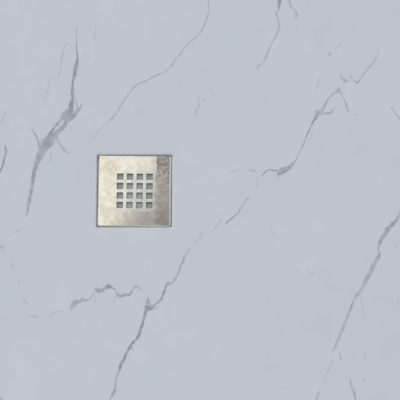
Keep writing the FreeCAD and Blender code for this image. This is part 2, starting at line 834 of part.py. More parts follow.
def trap_collar_ribs(body):
    """Gusset ribs that stiffen the collar against the bowl."""
    web = sketch_on(body, "collar_rib_section", "XZ_Plane",
                    lift="-collar_rib_thickness / 2")
    outline(web, [
        ("bowl_radius - bowl_wall", "collar_under_z"),
        ("bowl_radius - bowl_wall", "collar_under_z - collar_rib_height"),
        ("collar_radius - collar_margin / 2", "collar_under_z"),
    ])
    rib = pad(body, "collar_rib", web, "collar_rib_thickness")
    polar(body, "collar_ribs", [rib], "collar_rib_count")


def trap_inside(body):
    hollow = sketch_on(body, "hollow_section", "XZ_Plane")
    outline(hollow, [
        ("0", "bowl_floor_z"),
        ("bowl_radius - bowl_taper - bowl_wall", "bowl_floor_z"),
        ("bowl_radius - bowl_wall", "collar_under_z - 2 * bowl_wall"),
        ("neck_bore", "collar_under_z - bowl_wall / 2"),
        ("neck_bore", "neck_top_z + neck_drop / 2"),
        ("0", "neck_top_z + neck_drop / 2"),
    ])
    groove(body, "hollow", hollow)
    way = sketch_on(body, "way_section", "XZ_Plane", along="outlet_z")
    outline(way, [
        ("-tube_radius - tube_wall", "0"),
        ("-tube_radius - tube_wall", "outlet_bore"),
        ("-ball_from_drain + cup_depth", "outlet_bore"),
        ("-ball_from_drain + cup_depth", "cup_bore - cup_step_width"),
        ("-ball_from_drain + ball_seal_far", "cup_bore - cup_step_width"),
        ("-ball_from_drain + ball_seal_far", "cup_bore"),
        ("-ball_from_drain - cup_lip - cup_wall", "cup_bore"),
        ("-ball_from_drain - cup_lip - cup_wall", "0"),
    ])
    groove(body, "way", way, "H_Axis")


def trap_bosses(body):
    """Bosses inside the neck, each with a stepped hole for its insert and screw end."""
    plan = sketch_on(body, "boss_plan", "XY_Plane", lift="neck_top_z")
    circle(plan, "boss_radius", "screw_circle")
    boss = pad(body, "boss", plan, "boss_length", down=True)
    polar(body, "bosses", [boss], "screw_count")
    section = sketch_on(body, "boss_hole_section", "XZ_Plane", across="screw_circle")
    outline(section, [
        ("0", "screw_end_z - boss_hole_end_gap"),
        ("screw_radius + screw_hole_gap", "screw_end_z - boss_hole_end_gap"),
        ("screw_radius + screw_hole_gap", "neck_top_z - insert_length"),
        ("insert_radius", "neck_top_z - insert_length"),
        ("insert_radius", "neck_top_z + neck_drop / 2"),
        ("0", "neck_top_z + neck_drop / 2"),
    ])
    hole = groove(body, "boss_hole", section)
    polar(body, "boss_holes", [hole], "screw_count")


# ---------------------------------------------------------------- ball joint and coupling

def ball_seal(doc):
    """Seal ring in the cup, hollowed to the ball."""
    body = new_body(doc, "ball_seal")
    section = sketch_on(body, "ball_seal_section", "XZ_Plane")
    outline(section, [
        (None, "-ball_seal_far"),
        (None, "-ball_seal_near"),
        ("cup_bore - thread_gap", "-ball_seal_near"),
        ("cup_bore - thread_gap", "-ball_seal_far"),
    ], arcs={0: "ball_radius + ball_gap"})
    revolve(body, "ball_seal_form", section)
    lay_at_outlet(body)
    return body


def flutes(body, name, radius, low, high):
    """Finger flutes down the outside of a nut."""
    plan = sketch_on(body, name + "_plan", "XY_Plane", lift=high)
    circle(plan, "nut_flute_radius", f"{radius} + nut_flute_radius - nut_flute_depth")
    flute = pocket(body, name + "_cut", plan, f"{high} - ({low})")
    polar(body, name, [flute], "nut_flute_count")


def ball_nut(doc):
    """Nut over the cup whose lip is hollowed to hold the ball."""
    body = new_body(doc, "ball_nut")
    section = sketch_on(body, "ball_nut_section", "XZ_Plane")
    mouth = "sqrt((ball_radius + ball_gap)^2 - ball_nut_lip^2) + ball_nut_mouth_flare"
    outline(section, [
        ("ball_nut_bore", "-ball_nut_skirt"),
        ("ball_nut_radius", "-ball_nut_skirt"),
        ("ball_nut_radius", "ball_nut_lip"),
        ("ball_nut_radius - ball_nut_lip_thickness", "ball_nut_lip + ball_nut_lip_thickness"),
        (mouth, "ball_nut_lip + ball_nut_lip_thickness"),
        (None, "ball_nut_lip"),
        (None, "ball_nut_shoulder"),
        ("ball_nut_bore", "ball_nut_shoulder"),
    ], arcs={5: "ball_radius + ball_gap"})
    revolve(body, "ball_nut_form", section)
    flutes(body, "ball_nut_flutes", "ball_nut_radius", "-ball_nut_skirt", "ball_nut_lip")
    lay_at_outlet(body)
    return body


def swivel_tail(doc):
    """Hollow ball, neck and pipe socket in one moulding, with a coned seat at its mouth."""
    body = new_body(doc, "swivel_tail")
    section = sketch_on(body, "tail_section", "XZ_Plane")
    outline(section, [
        ("outlet_bore + ball_mouth_wall", None),
        ("tail_radius", None),
        ("tail_radius", "tail_neck_end"),
        ("pipe_socket_radius", "pipe_stop"),
        ("pipe_socket_radius", "tail_end"),
        ("pipe_bore + pipe_seat_width", "tail_end"),
        ("pipe_bore", "tail_end - pipe_seat_depth"),
        ("pipe_bore", "pipe_stop"),
        ("outlet_bore", "pipe_stop"),
        ("outlet_bore", "-sqrt(ball_radius^2 - (outlet_bore + ball_mouth_wall)^2)"),
    ], arcs={0: "ball_radius"})
    revolve(body, "tail_form", section)
    lay_at_outlet(body)
    return body


def cone_seal(doc):
    """Wedge-shaped seal in the mouth's seat, standing proud for the nut to press."""
    body = new_body(doc, "cone_seal")
    section = sketch_on(body, "cone_seal_section", "XZ_Plane")
    outline(section, [
        ("pipe_bore + seal_bore_gap", "tail_end - pipe_seat_depth + 2 * cone_seal_gap"),
        ("pipe_bore + pipe_seat_width", "tail_end + cone_seal_gap"),
        ("pipe_bore + pipe_seat_width", "cone_seal_end"),
        ("pipe_bore + seal_bore_gap", "cone_seal_end"),
    ])
    revolve(body, "cone_seal_form", section)
    lay_at_outlet(body)
    return body


def slip_ring(doc):
    """Thin washer that lets the nut turn without dragging the seal."""
    body = new_body(doc, "slip_ring")
    section = sketch_on(body, "slip_ring_section", "XZ_Plane")
    outline(section, [
        ("pipe_bore + seal_bore_gap", "cone_seal_end"),
        ("coupling_nut_bore - slip_ring_side_gap", "cone_seal_end"),
        ("coupling_nut_bore - slip_ring_side_gap", "slip_ring_end"),
        ("pipe_bore + seal_bore_gap", "slip_ring_end"),
    ])
    revolve(body, "slip_ring_form", section)
    lay_at_outlet(body)
    return body


def coupling_nut(doc):
    """Compression nut on the tail's mouth, with a hole for the pipe."""
    body = new_body(doc, "coupling_nut")
    section = sketch_on(body, "coupling_nut_section", "XZ_Plane")
    outline(section, [
        ("coupling_nut_bore", "tail_end - coupling_nut_skirt"),
        ("coupling_nut_radius", "tail_end - coupling_nut_skirt"),
        ("coupling_nut_radius", "coupling_nut_end - coupling_nut_lip / 2"),
        ("coupling_nut_radius - coupling_nut_lip / 2", "coupling_nut_end"),
        ("pipe_bore + coupling_nut_bore_gap", "coupling_nut_end"),
        ("pipe_bore + coupling_nut_bore_gap", "slip_ring_end"),
        ("coupling_nut_bore", "slip_ring_end"),
    ])
    revolve(body, "coupling_nut_form", section)
    flutes(body, "coupling_nut_flutes", "coupling_nut_radius",
           "tail_end - coupling_nut_skirt", "coupling_nut_end - coupling_nut_lip / 2")
    lay_at_outlet(body)
    return body


# ---------------------------------------------------------------- the whole part

def check_objects(doc, pieces):
    """Stop if anything in the document failed, or a piece isn't a sound solid."""
    for item in doc.Objects:
        if "Invalid" in item.State or "Error" in item.State:
            raise RuntimeError(f"{item.Label} failed: {item.State}")
    for piece in pieces:
        shape = piece.Shape
        if shape.isNull() or not shape.isValid() or not shape.Solids:
            raise RuntimeError(f"{piece.Label} is not a sound solid")


def build():
    doc = FreeCAD.newDocument("ShowerTray")
    make_sheets(doc)
    pieces = tray(doc)
    pieces.append(grate_plate(doc))
    pieces.append(grate_feet(doc))
    pieces.append(waste_flange(doc))
    pieces.append(flat_ring(doc, "flange_gasket", "waste_hole_radius",
                            "flange_radius - flange_gasket_edge_gap",
                            "recess_floor_z", "flange_under_z"))
    pieces.append(flange_screws(doc))
    pieces.append(threaded_inserts(doc))
    pieces.append(dip_tube(doc))
    pieces.append(dip_tube_oring(doc))
    pieces.append(hair_catcher(doc))
    pieces.append(flat_ring(doc, "trap_gasket", "trap_gasket_bore", "trap_gasket_radius",
                            "collar_top_z", "rebate_depth"))
    pieces.append(trap_body(doc))
    pieces.append(ball_seal(doc))
    pieces.append(ball_nut(doc))
    pieces.append(swivel_tail(doc))
    pieces.append(cone_seal(doc))
    pieces.append(slip_ring(doc))
    pieces.append(coupling_nut(doc))
    doc.recompute()
    check_objects(doc, pieces)
    return pieces


def export(pieces):
    os.makedirs(PARTS_FOLDER, exist_ok=True)
    for piece in pieces:
        shape = piece.Shape
        shape.exportStep(os.path.join(PARTS_FOLDER, piece.Label + ".step"))
        box = shape.BoundBox
        print(f"{piece.Label:18s} solids {len(shape.Solids):2d}  volume {shape.Volume:12.1f}  "
              f"x {box.XMin:8.2f} {box.XMax:8.2f}  y {box.YMin:8.2f} {box.YMax:8.2f}  "
              f"z {box.ZMin:8.2f} {box.ZMax:8.2f}")


export(build())
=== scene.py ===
import json
import math

import bpy
import numpy as np
from mathutils import Matrix, Vector, noise
from mathutils.geometry import delaunay_2d_cdt

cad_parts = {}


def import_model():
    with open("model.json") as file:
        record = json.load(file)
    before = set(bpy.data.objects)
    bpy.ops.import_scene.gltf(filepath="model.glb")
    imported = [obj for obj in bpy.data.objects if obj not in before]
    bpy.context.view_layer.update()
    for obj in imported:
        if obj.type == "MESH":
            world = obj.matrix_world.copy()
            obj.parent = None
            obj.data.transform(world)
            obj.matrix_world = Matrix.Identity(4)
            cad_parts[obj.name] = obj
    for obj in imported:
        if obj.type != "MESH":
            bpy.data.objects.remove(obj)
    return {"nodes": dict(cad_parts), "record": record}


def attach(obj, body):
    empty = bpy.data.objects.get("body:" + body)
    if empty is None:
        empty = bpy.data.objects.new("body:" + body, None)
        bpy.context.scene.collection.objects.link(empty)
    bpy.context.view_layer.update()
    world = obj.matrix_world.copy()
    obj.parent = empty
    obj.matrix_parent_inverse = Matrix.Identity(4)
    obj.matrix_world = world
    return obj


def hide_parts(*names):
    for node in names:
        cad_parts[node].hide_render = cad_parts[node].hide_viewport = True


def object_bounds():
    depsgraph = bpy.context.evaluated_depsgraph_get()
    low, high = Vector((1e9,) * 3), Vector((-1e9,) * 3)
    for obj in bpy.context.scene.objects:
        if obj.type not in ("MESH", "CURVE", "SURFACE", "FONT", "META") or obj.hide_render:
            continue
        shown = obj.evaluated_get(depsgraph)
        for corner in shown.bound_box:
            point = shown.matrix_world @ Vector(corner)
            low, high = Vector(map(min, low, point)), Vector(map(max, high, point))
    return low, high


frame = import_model()
cad_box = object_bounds()

MM = 0.001

# ---------------------------------------------------------------- sizes of the tray, in mm

TRAY_LENGTH = 1000.0
TRAY_WIDTH = 800.0
TRAY_TOP = 35.0
CORNER_RADIUS = 4.0
EDGE_RADIUS = 2.5
RIM_WIDTH = 25.0
PAN_CORNER = 40.0
PAN_FALL = 7.2
DISH_WIDTH = 12.5
DISH_FALL = 0.8
MARGIN_WIDTH = 2.5
DRAIN_X = -220.0
RECESS_HALF = 57.5
RECESS_CORNER = 3.0
RECESS_EDGE_RADIUS = 1.5
RECESS_FLOOR = 12.7
WASTE_HOLE = 45.0
SKIN = 1.0
DISH_TOP = TRAY_TOP - PAN_FALL
RECESS_TOP = DISH_TOP - DISH_FALL
PLATE_HALF = 56.0
PLATE_EDGE_RADIUS = 2.0
PLATE_SET_DOWN = 0.8
PLATE_TOP = RECESS_TOP - PLATE_SET_DOWN

# An outline is (centre x, half length, half width, corner radius, height).


def inside_tray(inset, corner):
    """Outline on the tray's top, inset from its sides."""
    return (0.0, TRAY_LENGTH / 2 - inset, TRAY_WIDTH / 2 - inset, corner, TRAY_TOP)


def round_recess(reach, height):
    """Outline round the recess, outside its walls by the given reach."""
    half = RECESS_HALF + reach
    return (DRAIN_X, half, half, RECESS_CORNER + reach, height)


TOP_EDGE = inside_tray(EDGE_RADIUS, CORNER_RADIUS - EDGE_RADIUS)
PAN_RIM = inside_tray(RIM_WIDTH, PAN_CORNER)
DISH_RIM = round_recess(MARGIN_WIDTH + DISH_WIDTH, DISH_TOP)
MARGIN = round_recess(MARGIN_WIDTH, RECESS_TOP)
RECESS_EDGE = round_recess(RECESS_EDGE_RADIUS, RECESS_TOP)

# ---------------------------------------------------------------- the photograph's camera

PHOTO_SIDE = 400
LENS = 200.0
SENSOR = 36.0
ELEVATION = math.radians(75.0)
DISTANCE = 3391.0
AIM = (DRAIN_X + 100.1, -14.7, RECESS_TOP)
PIXELS_PER_SLOPE = LENS / SENSOR * PHOTO_SIDE
AIMING_ROUNDS = 4

# ---------------------------------------------------------------- the veins
# Each vein is (width in px, depth of tone, route); a route's points are (x, y) in the
# photograph's frame, with the vein's own width after them where it swells.

VEINS = {
    "trunk_tip": (1.2, .42, [(76.9, 27, .8), (76.5, 33), (76.6, 42, 1.2)]),
    "trunk_top": (1.4, .75, [(76.6, 40, 1.1), (76.9, 51, 1.4), (77.5, 60, 2)]),
    "trunk": (2.6, 1.0, [
        (77.5, 58, 2.2), (77, 62, 3), (76, 67, 4), (74.6, 74, 3), (73, 82, 2),
        (72, 90, 2.3), (72.2, 98, 2.6), (71.4, 106, 4), (70, 111, 5)]),
    "trunk_line": (1.2, .5, [(73, 86), (74.4, 90), (74.6, 96), (76, 102), (77.8, 109, 2)]),
    "trunk_fork": (1.6, .75, [(82, 104.5, .8), (79.2, 109, 2.4), (75.4, 113.5, 4), (70, 118, 6)]),
    "trunk_blob": (10.0, .72, [
        (71, 107, 4), (69.6, 112, 7.6), (66.2, 117, 9.6), (61.8, 124, 10.2), (57, 130.5, 10),
        (52, 137, 11), (47.4, 143.5, 9.2), (43, 150, 7.4), (39.4, 157, 5.8),
        (36.2, 165, 4.4), (33.9, 173, 3.8), (32.6, 181, 3.8), (31.4, 189, 3), (30.2, 197, 2.8)]),
    "blob_strand": (1.6, 1.0, [
        (70, 112, 2), (63, 118.5), (58, 123.5), (53.4, 129, 2.4), (49, 134)]),
    "blob_strand_low": (2.0, .95, [(66, 121), (63, 126.5), (59.4, 131.5, 3), (56, 137, 2)]),
    "trunk_tail": (2.4, .66, [(30.2, 195, 3), (29, 202, 3.4), (27.8, 209, 2), (26.3, 217, .8)]),
    "blob_spike": (1.4, .45, [(63.8, 110.5, .8), (64.2, 113), (63.5, 118, 2)]),
    "blob_left_spike": (1.6, .7, [
        (31.6, 128.4, 1.2), (35.2, 134, 1.8), (37.6, 140), (38.9, 146, 2.8)]),
    "blob_left_tick": (1.2, .5, [(41.5, 138, 1), (40.8, 142), (40, 148, 2)]),
    "blob_right_branch": (1.8, .55, [
        (55, 138, 3), (57.4, 140), (62.5, 148), (65.7, 152), (69.5, 152.4, 1.2)]),
    "blob_faint": (1.2, .3, [(69.5, 125), (71.4, 129)]),
    "blob_dot": (1.6, .35, [(50.4, 153), (50.6, 158, 1), (50.4, 162)]),
    "thin_left": (1.2, .26, [(75.3, 52), (71.4, 46), (68.2, 43.4), (65.7, 44)]),
    "thin_left_middle": (1.3, .4, [(65.7, 44), (63.8, 50), (61.9, 57), (61.2, 66, 1)]),
    "thin_left_low": (1.2, .24, [(61.2, 66), (59.3, 74), (54.8, 78), (50.4, 80), (48.8, 84.5)]),
    "thin_left_end": (1.3, .36, [(48.8, 84), (47.4, 92), (45.2, 103, 1)]),
    "thin_loop": (1.2, .22, [(82.9, 56), (85.5, 52), (89.3, 59)]),
    "thin_top": (1.2, .2, [(98.2, 18), (95, 32), (95, 41)]),
    "long_thin": (1.4, .5, [
        (214, -62, 1), (212, -40), (209.5, -18), (208.9, 0), (208.3, 13), (206.4, 20),
        (200, 33.5), (188.8, 43), (176, 59), (169.6, 68), (162, 73), (153, 77), (144, 82),
        (137.8, 84), (132.7, 89), (122.4, 103), (114.8, 115), (110.4, 120.3)]),
    "long_thin_end": (1.2, .3, [
        (110.4, 120.3), (104, 125.6), (98.6, 131), (96.4, 134.4), (95, 139, .8)]),
    "left_edge": (1.8, .9, [
        (-49, 232, 2.6), (-40, 221), (-27, 207, 3), (-15, 190), (0, 171), (3.8, 161),
        (5.7, 152, 2.2), (5.1, 145, 1)]),
    "left_edge_faint": (1.3, .3, [(-14, 140), (0, 124), (6.4, 111)]),
    "left_low": (2.2, .5, [(-18, 262, 1), (-9, 253), (-2, 249)]),
    "left_low_dot": (3.6, .45, [(.4, 247.2), (2.6, 246.8, 3)]),
    "left_low_tip": (1.6, .2, [(3, 246), (6.4, 240, .8)]),
    "left_low_foot": (1.6, .2, [(2, 249), (6, 254, .8)]),
    "left_low_faint": (1.4, .3, [(13.5, 233.5, .8), (18, 230.6, 1.8), (23, 227.6, .9)]),
    "left_dash_a": (1.4, .35, [(10.8, 262.5, .9), (14.7, 270.5)]),
    "left_dash_b": (1.2, .25, [(17.9, 276.5), (18.5, 284)]),
    "left_dash_c": (1.3, .32, [(23, 298), (27.4, 304.5)]),
    "left_dash_d": (2.2, .42, [(29.6, 316, 1), (33.6, 316.2), (38.6, 317.4, 1.2)]),
    "left_dash_e": (1.5, .3, [(49.5, 316, .8), (52.6, 314.6, 2), (56, 311.8), (62.5, 311.6, .8)]),
    "top_wedge": (2.6, 1.0, [
        (284, -62, 1.2), (281, -45), (283, -22, 2), (279.8, 0, 3.8), (279, 5, 2.8),
        (278.6, 10.8, 1)]),
    "top_route": (1.4, .56, [
        (276, 11), (276.6, 16), (278.4, 22), (279.4, 27, 1.6), (277.2, 33), (272.9, 41, 1.2),
        (268.2, 51, 1.2), (265.5, 59, 2), (263.4, 62.6), (260, 65.4, 1.2), (256, 69, .8)]),
    "top_second": (1.6, .5, [
        (283, -22, 1), (287, -12), (289.3, 0, 2), (290.6, 6.6), (293.6, 9, 1.2), (296.4, 12.4),
        (296.2, 16), (295.7, 19.4, .9)]),
    "top_dot": (2.0, .22, [(297, 25.6), (297.4, 27.6)]),
    "top_dash_a": (2.4, .4, [(328.6, 56.6, .9), (330.6, 53.2)]),
    "top_dash_b": (1.4, .3, [(335, 49.6, .8), (341.4, 43.6, 1.8)]),
    "hook_tip": (1.2, .3, [(378.3, 48, .8), (378, 54), (376, 58.4)]),
    "upper_hook": (1.4, .52, [
        (376.2, 57.5, 1), (374.2, 61.4, 2), (369, 67.4), (364, 73.6, 1.2), (360.4, 78.6),
        (357.5, 82.8, 1.8), (353.4, 80, 1.2)]),
    "upper_dot": (2.0, .4, [(351, 76.2), (351.6, 77.2)]),
    "upper_tick": (1.6, .52, [(339.4, 74, .8), (342, 78), (344.8, 80.6, 2.8), (349, 80.4, 1.2)]),
    "upper_link": (1.6, .3, [(346, 82, 1.8), (343.2, 84.4, 1)]),
    "upper_route": (1.6, .55, [
        (339.8, 87, 1), (338, 90.4, 3.6), (334.6, 92.6, 1.6), (331, 95.6, 2.4), (328, 99, 1.4),
        (325.6, 104), (323.4, 108.6, 2.4), (321.4, 110.4, 3), (319, 114, 2.2)]),
    "upper_right_branch": (1.7, .6, [
        (318.6, 114.6), (324, 113.6, 1.3), (330, 112.8, 2), (333, 110.4), (336, 107.4, .9)]),
    "upper_branch": (1.7, .55, [
        (338.4, 90, 2.6), (341.4, 94.6), (343.4, 98.4, 1.2), (345.6, 103), (346.8, 109.6),
        (348.6, 111, 3)]),
    "upper_branch_faint": (1.2, .22, [(354.6, 114.8), (361.6, 115)]),
    "upper_spur": (1.3, .55, [(316.6, 110.4, 1.6), (315, 116), (313.6, 119.6)]),
    "upper_trunk": (2.2, 1.0, [
        (319.4, 112.6, 3), (316.6, 117, 2.6), (313.4, 121.6, 1.8)]),
    "upper_trunk_low_half": (1.6, .76, [(313.8, 121, 1.8), (310, 128, 1.6), (307, 135, 1.4)]),
    "upper_trunk_middle": (1.3, .6, [(307.2, 134.6, 1.6), (304, 143, 1.3), (300.8, 149.6, 1)]),
    "upper_trunk_low": (1.1, .5, [
        (300.8, 149.6), (298, 155), (295.6, 160, 1.3), (293.4, 163, 2)]),
    "upper_blob": (4.0, .92, [
        (294, 162.4, 1.4), (291.4, 166, 3.4), (288, 168.2, 4.6), (284, 169.8, 6.4),
        (281, 171.8, 5), (278.2, 175, 1.6)]),
    "upper_blob_left": (1.6, .75, [
        (281, 171.4, 2.4), (275, 170.8), (268.9, 169.7, 1.6), (265.4, 171.8, 1.2),
        (261, 176, 1)]),
    "upper_companion": (1.2, .28, [(312, 133), (310, 140)]),
    "middle_dash_a": (1.4, .4, [(249, 169.6), (257.4, 172.8)]),
    "middle_dash_b": (1.4, .35, [(230, 171.6), (239.5, 169.6)]),
    "middle_faint_a": (1.2, .3, [(258, 177), (257.4, 187.5)]),
    "middle_faint_b": (1.2, .3, [(278, 176), (278, 181)]),
    "middle_faint_c": (1.2, .28, [(319.3, 78), (316.7, 89)]),
    "middle_faint_f": (1.6, .22, [(351.6, 91.6), (353, 94)]),
    "middle_faint_d": (1.2, .22, [(210, 88), (214, 96)]),
    "middle_faint_e": (1.8, .26, [(198.2, 97, 1.2), (198.8, 104), (196.8, 110, 2.6), (194.4, 117, 1)]),
    "middle_dot_low": (1.8, .2, [(143, 258), (146, 258.2)]),
    "middle_dot": (1.6, .35, [(203.4, 99.5), (204.2, 100.5)]),
    "right_edge_top": (1.5, .42, [
        (391.6, 108, 2), (394, 111), (398.3, 117), (409, 128), (417, 143), (431, 152, .9)]),
    "middle_start": (1.5, .45, [(245.9, 199), (251, 197.7)]),
    "squiggle": (2.6, .62, [
        (70.8, 309, 2.8), (73.2, 305.8, 5.2), (75.4, 302.2, 6), (79.4, 301.6, 3.4),
        (82.8, 299.2, 3), (85.6, 300.6, 2.2), (90, 298.4, 2.2), (92.6, 295.4, 1.4), (95, 291.6, 1)]),
    "squiggle_middle": (3.4, .84, [
        (94.4, 288.4, 1.2), (97, 290, 2.6), (99.4, 290.8, 5.2), (102.6, 289.6, 4),
        (105.4, 288, 3.6), (108.2, 286.6, 4.6), (109.6, 286.6, 3.4), (111.6, 288, 1.8),
        (115.8, 290, 1.2)]),
    "squiggle_horn": (1.4, .6, [(108.4, 282.6, .8), (108.8, 286, 2)]),
    "squiggle_drop": (1.4, .5, [(99.6, 290, 2.4), (99.9, 293.4, 1.4)]),
    "squiggle_end": (2.2, .7, [
        (116.4, 292.4, 1.4), (118, 294.6, 3), (121.2, 295.9, 2.4), (125.6, 294.4, 2.6),
        (128.9, 295.2, 2.2), (131.6, 291.4, 1.8)]),
    "squiggle_tip": (1.6, .42, [
        (131.6, 291.2), (134, 287.8), (137, 286.2, 3), (138.8, 287.6, 1.2), (141.6, 291, 1.6)]),
    "spike_faint": (1.3, .16, [(143.4, 295), (144.8, 300.5), (146, 305)]),
    "squiggle_spike_a": (1.3, .35, [(95.2, 296), (95.4, 303, .8)]),
    "squiggle_spike_b": (1.3, .35, [(115.4, 297), (113.4, 303, .8)]),
    "main_top_tip": (1.4, .36, [(251, 197.7, 1), (246.8, 199.6, 1.6), (244, 202.6), (241.6, 207)]),
    "main_top": (1.5, .72, [
        (241.8, 206.4, 1), (238, 213, 1.6), (233, 217.4, 1.4), (229, 221), (226, 223.4, 1.3)]),
    "main_gap": (2.2, .2, [(221.6, 218.6), (218.6, 223.6), (214.6, 229), (211, 232.6, 1)]),
    "main_gap_low": (1.6, .2, [(202.6, 229), (200.6, 237), (197, 240.4), (193.6, 243.6)]),
    "main_middle_top": (1.5, .46, [(191, 247.6, 1.8), (186.6, 252.6, 1.8), (184.2, 257.6)]),
    "main_middle": (1.6, .68, [
        (184.4, 257, 1.6), (183.4, 261, 1.8), (181, 265.6), (178.6, 272.6, 2), (175.4, 278.6),
        (172.4, 282.4, 1.6), (169.4, 284.6, 2), (168, 282.4, 2)]),
    "main_middle_low": (1.9, .82, [
        (167.6, 283.4, 2), (166.4, 286, 1.8), (163.4, 294, 1.9), (160.4, 300.6, 2.2),
        (156, 304, 1.7), (152.6, 307, 2.2), (150.6, 309, 2.8)]),
    "main_loop": (1.2, .45, [(159.6, 302.6), (157.6, 307), (154, 309.4), (150.8, 309.4)]),
    "main_knot": (2.8, .85, [(146.4, 307.2, 3.2), (149, 309.2, 3.4), (151.8, 309.4, 1.4)]),
    "main_spike": (1.6, .62, [(147.8, 297, .9), (147, 301.6, 2), (146, 308, 1.6)]),
    "main_spike_right": (1.4, .6, [(148.2, 297.6, .9), (149, 302, 1.6), (151, 307.6)]),
    "main_low": (2.4, 1.0, [
        (147, 307.6, 2), (145.4, 312.6, 2.6), (143.6, 320, 2.8), (141.2, 328, 2.1),
        (138.6, 335.6, 2.4), (136.6, 339.6, 2.2), (133, 342.2, 3.6), (130.6, 346, 2.4),
        (127.6, 351.6, 2.6), (124.4, 357.6, 2.2), (121.2, 365, 2.6), (119.6, 369, 2)]),
    "main_foot": (1.8, .66, [
        (119.8, 368.4, 2), (118.6, 372, 1.6), (116.4, 379, 1.4),
        (115, 387.6, 1.6), (114.4, 391.6, 2.4), (110.3, 399.4, 1.6), (106, 412), (103, 428, 2.6),
        (97, 443, 2)]),
    "main_low_tick": (1.2, .4, [(131.6, 347.6), (133, 350.6, .8)]),
    "right_upper": (3.2, .84, [
        (409, 201, 2.4), (400, 214.4, 2.6), (396, 220.6, 2.8), (391.4, 225.4, 3.8),
        (388, 229.6, 4.8), (384.6, 234.4, 4.8), (381.4, 239, 3), (379.6, 244.6, 2.4),
        (377.9, 250.6, 1.2)]),
    "right_middle": (3.2, .64, [
        (380.6, 252, .9), (378.6, 256.4, 3.2), (374.7, 264, 4.2), (370.6, 272, 4.6),
        (366.6, 279.6, 3.6)]),
    "right_middle_low": (2.8, .48, [
        (367, 279, 3.4), (362.6, 287, 2.6), (359.4, 292.6, 2.8), (354.4, 298, 1.8)]),
    "right_third": (2.2, .62, [
        (354.6, 297.6, 1.6), (352.4, 304, 1.8), (349, 312.6, 2.2), (346, 320, 2.4)]),
    "right_third_low": (2.8, .5, [
        (346.4, 319, 2.2), (341.6, 331.6, 3.2), (338.4, 339.4, 2.4), (335.6, 346, 2.6),
        (333.2, 351.2, 1.2)]),
    "right_low": (1.5, .3, [(333, 359.6, .9), (330, 366, 1.8), (326.6, 373)]),
    "right_low_end": (1.3, .18, [(326.6, 373), (323.6, 383), (320, 390)]),
    "right_foot": (1.8, .45, [
        (319.6, 391, 1), (318, 395, 2.4), (316.7, 399, 1.8), (311, 416), (309, 430), (301, 443)]),
    "right_branch": (1.3, .2, [(360.6, 297), (363, 307), (366.6, 318, .8)]),
    "small_tick": (1.3, .5, [(339.7, 352.6, .8), (341, 359.4)]),
    "small_route": (1.8, .55, [
        (349.9, 378, .8), (351.4, 385, 1.3), (354, 392, 2.6), (355.4, 399, 2), (358, 411),
        (355, 426, 1)]),
    "small_dash_a": (1.3, .35, [(364.5, 353.6), (365.6, 359, .9)]),
    "small_dot_a": (2.0, .35, [(363.3, 379), (363.5, 380.4)]),
    "small_route_b": (1.3, .32, [(269.6, 227.6, .8), (271.6, 231), (275.3, 233.6, .9)]),
    "small_dot_b": (1.6, .22, [(282.4, 234.4), (283.6, 234.6)]),
    "small_dot_c": (1.4, .35, [(298, 269.3), (298, 270.7)]),
    "small_dash_b": (1.4, .35, [(307, 268.6, .8), (311.4, 272.8), (314.8, 274.2, .8)]),
    "small_dot_d": (2.0, .25, [(395.8, 246), (395.8, 248)]),
    "small_faint": (1.3, .22, [(398.3, 299), (398.3, 306)]),
    # outside the photograph's view, in the same manner
    "far_long": (2.6, .75, [
        (563, -62, 1.6), (556, -40), (541, -9, 3.4), (533, 18), (517, 43, 4.6), (508, 68, 3),
        (489, 92), (471, 112, 2), (457, 133, 3), (438, 158, 4.4), (421, 180, 3), (409, 201, 2)]),
    "far_long_branch": (1.6, .5, [
        (533, 18), (547, 37), (552, 61), (566, 83), (571, 104), (588, 121), (606, 131)]),
    "far_thin": (1.4, .4, [
        (455, -62), (452, -41), (441, -22), (437, 0), (425, 15), (411, 26, .9)]),
    "far_low": (2.8, .8, [
        (606, 187, 2), (592, 203, 3.6), (573, 221, 5), (562, 247, 3), (543, 272, 2),
        (532, 299, 3.4), (513, 321, 4.8), (504, 346, 3), (487, 371, 2), (479, 404), (471, 443)]),
    "far_low_branch": (1.5, .45, [
        (543, 272), (527, 279), (511, 293), (490, 299), (473, 313), (451, 318), (437, 331, .9)]),
    "far_low_twig": (1.3, .35, [(513, 321), (529, 338), (533, 357), (548, 371, .8)]),
    "far_corner": (1.8, .6, [(606, 372), (589, 389), (581, 408), (567, 424), (561, 443)]),
    "far_dash_a": (1.5, .4, [(447, 229), (459, 238), (467, 240)]),
    "far_dash_b": (1.5, .35, [(430, 381), (437, 392), (448, 397)]),
    "top_left_route": (1.7, .6, [
        (126, -62), (119, -50), (108, -38), (101, -25), (90, -16), (84, -8, .9)]),
    "top_left_twig": (1.3, .35, [(108, -38), (91, -41), (73, -50), (59, -50, .8)]),
    "low_left_route": (2.0, .7, [
        (31, 443, 2.6), (23, 424), (7, 409, 3.4), (-6, 391), (-21, 381), (-33, 362),
        (-49, 351)]),
    "low_left_twig": (1.3, .35, [(7, 409), (21, 412), (36, 408), (52, 417, .8)]),
}
# Light openings in the broad grey patch, in the same form.
WINDOWS = {
    "window_a": (2.4, .95, [(62.6, 121.8, 4), (59.6, 125.2, 3.4), (56.6, 128.8, 3), (54, 132, 1.2)]),
    "window_b": (1.8, .6, [(62.6, 126.4, 2.4), (60, 129.6, 1.4)]),
    "window_c": (1.3, .3, [(35, 166, .8), (34.2, 172), (33, 180, .8)]),
}

# ---------------------------------------------------------------- the skin's mesh, in mm

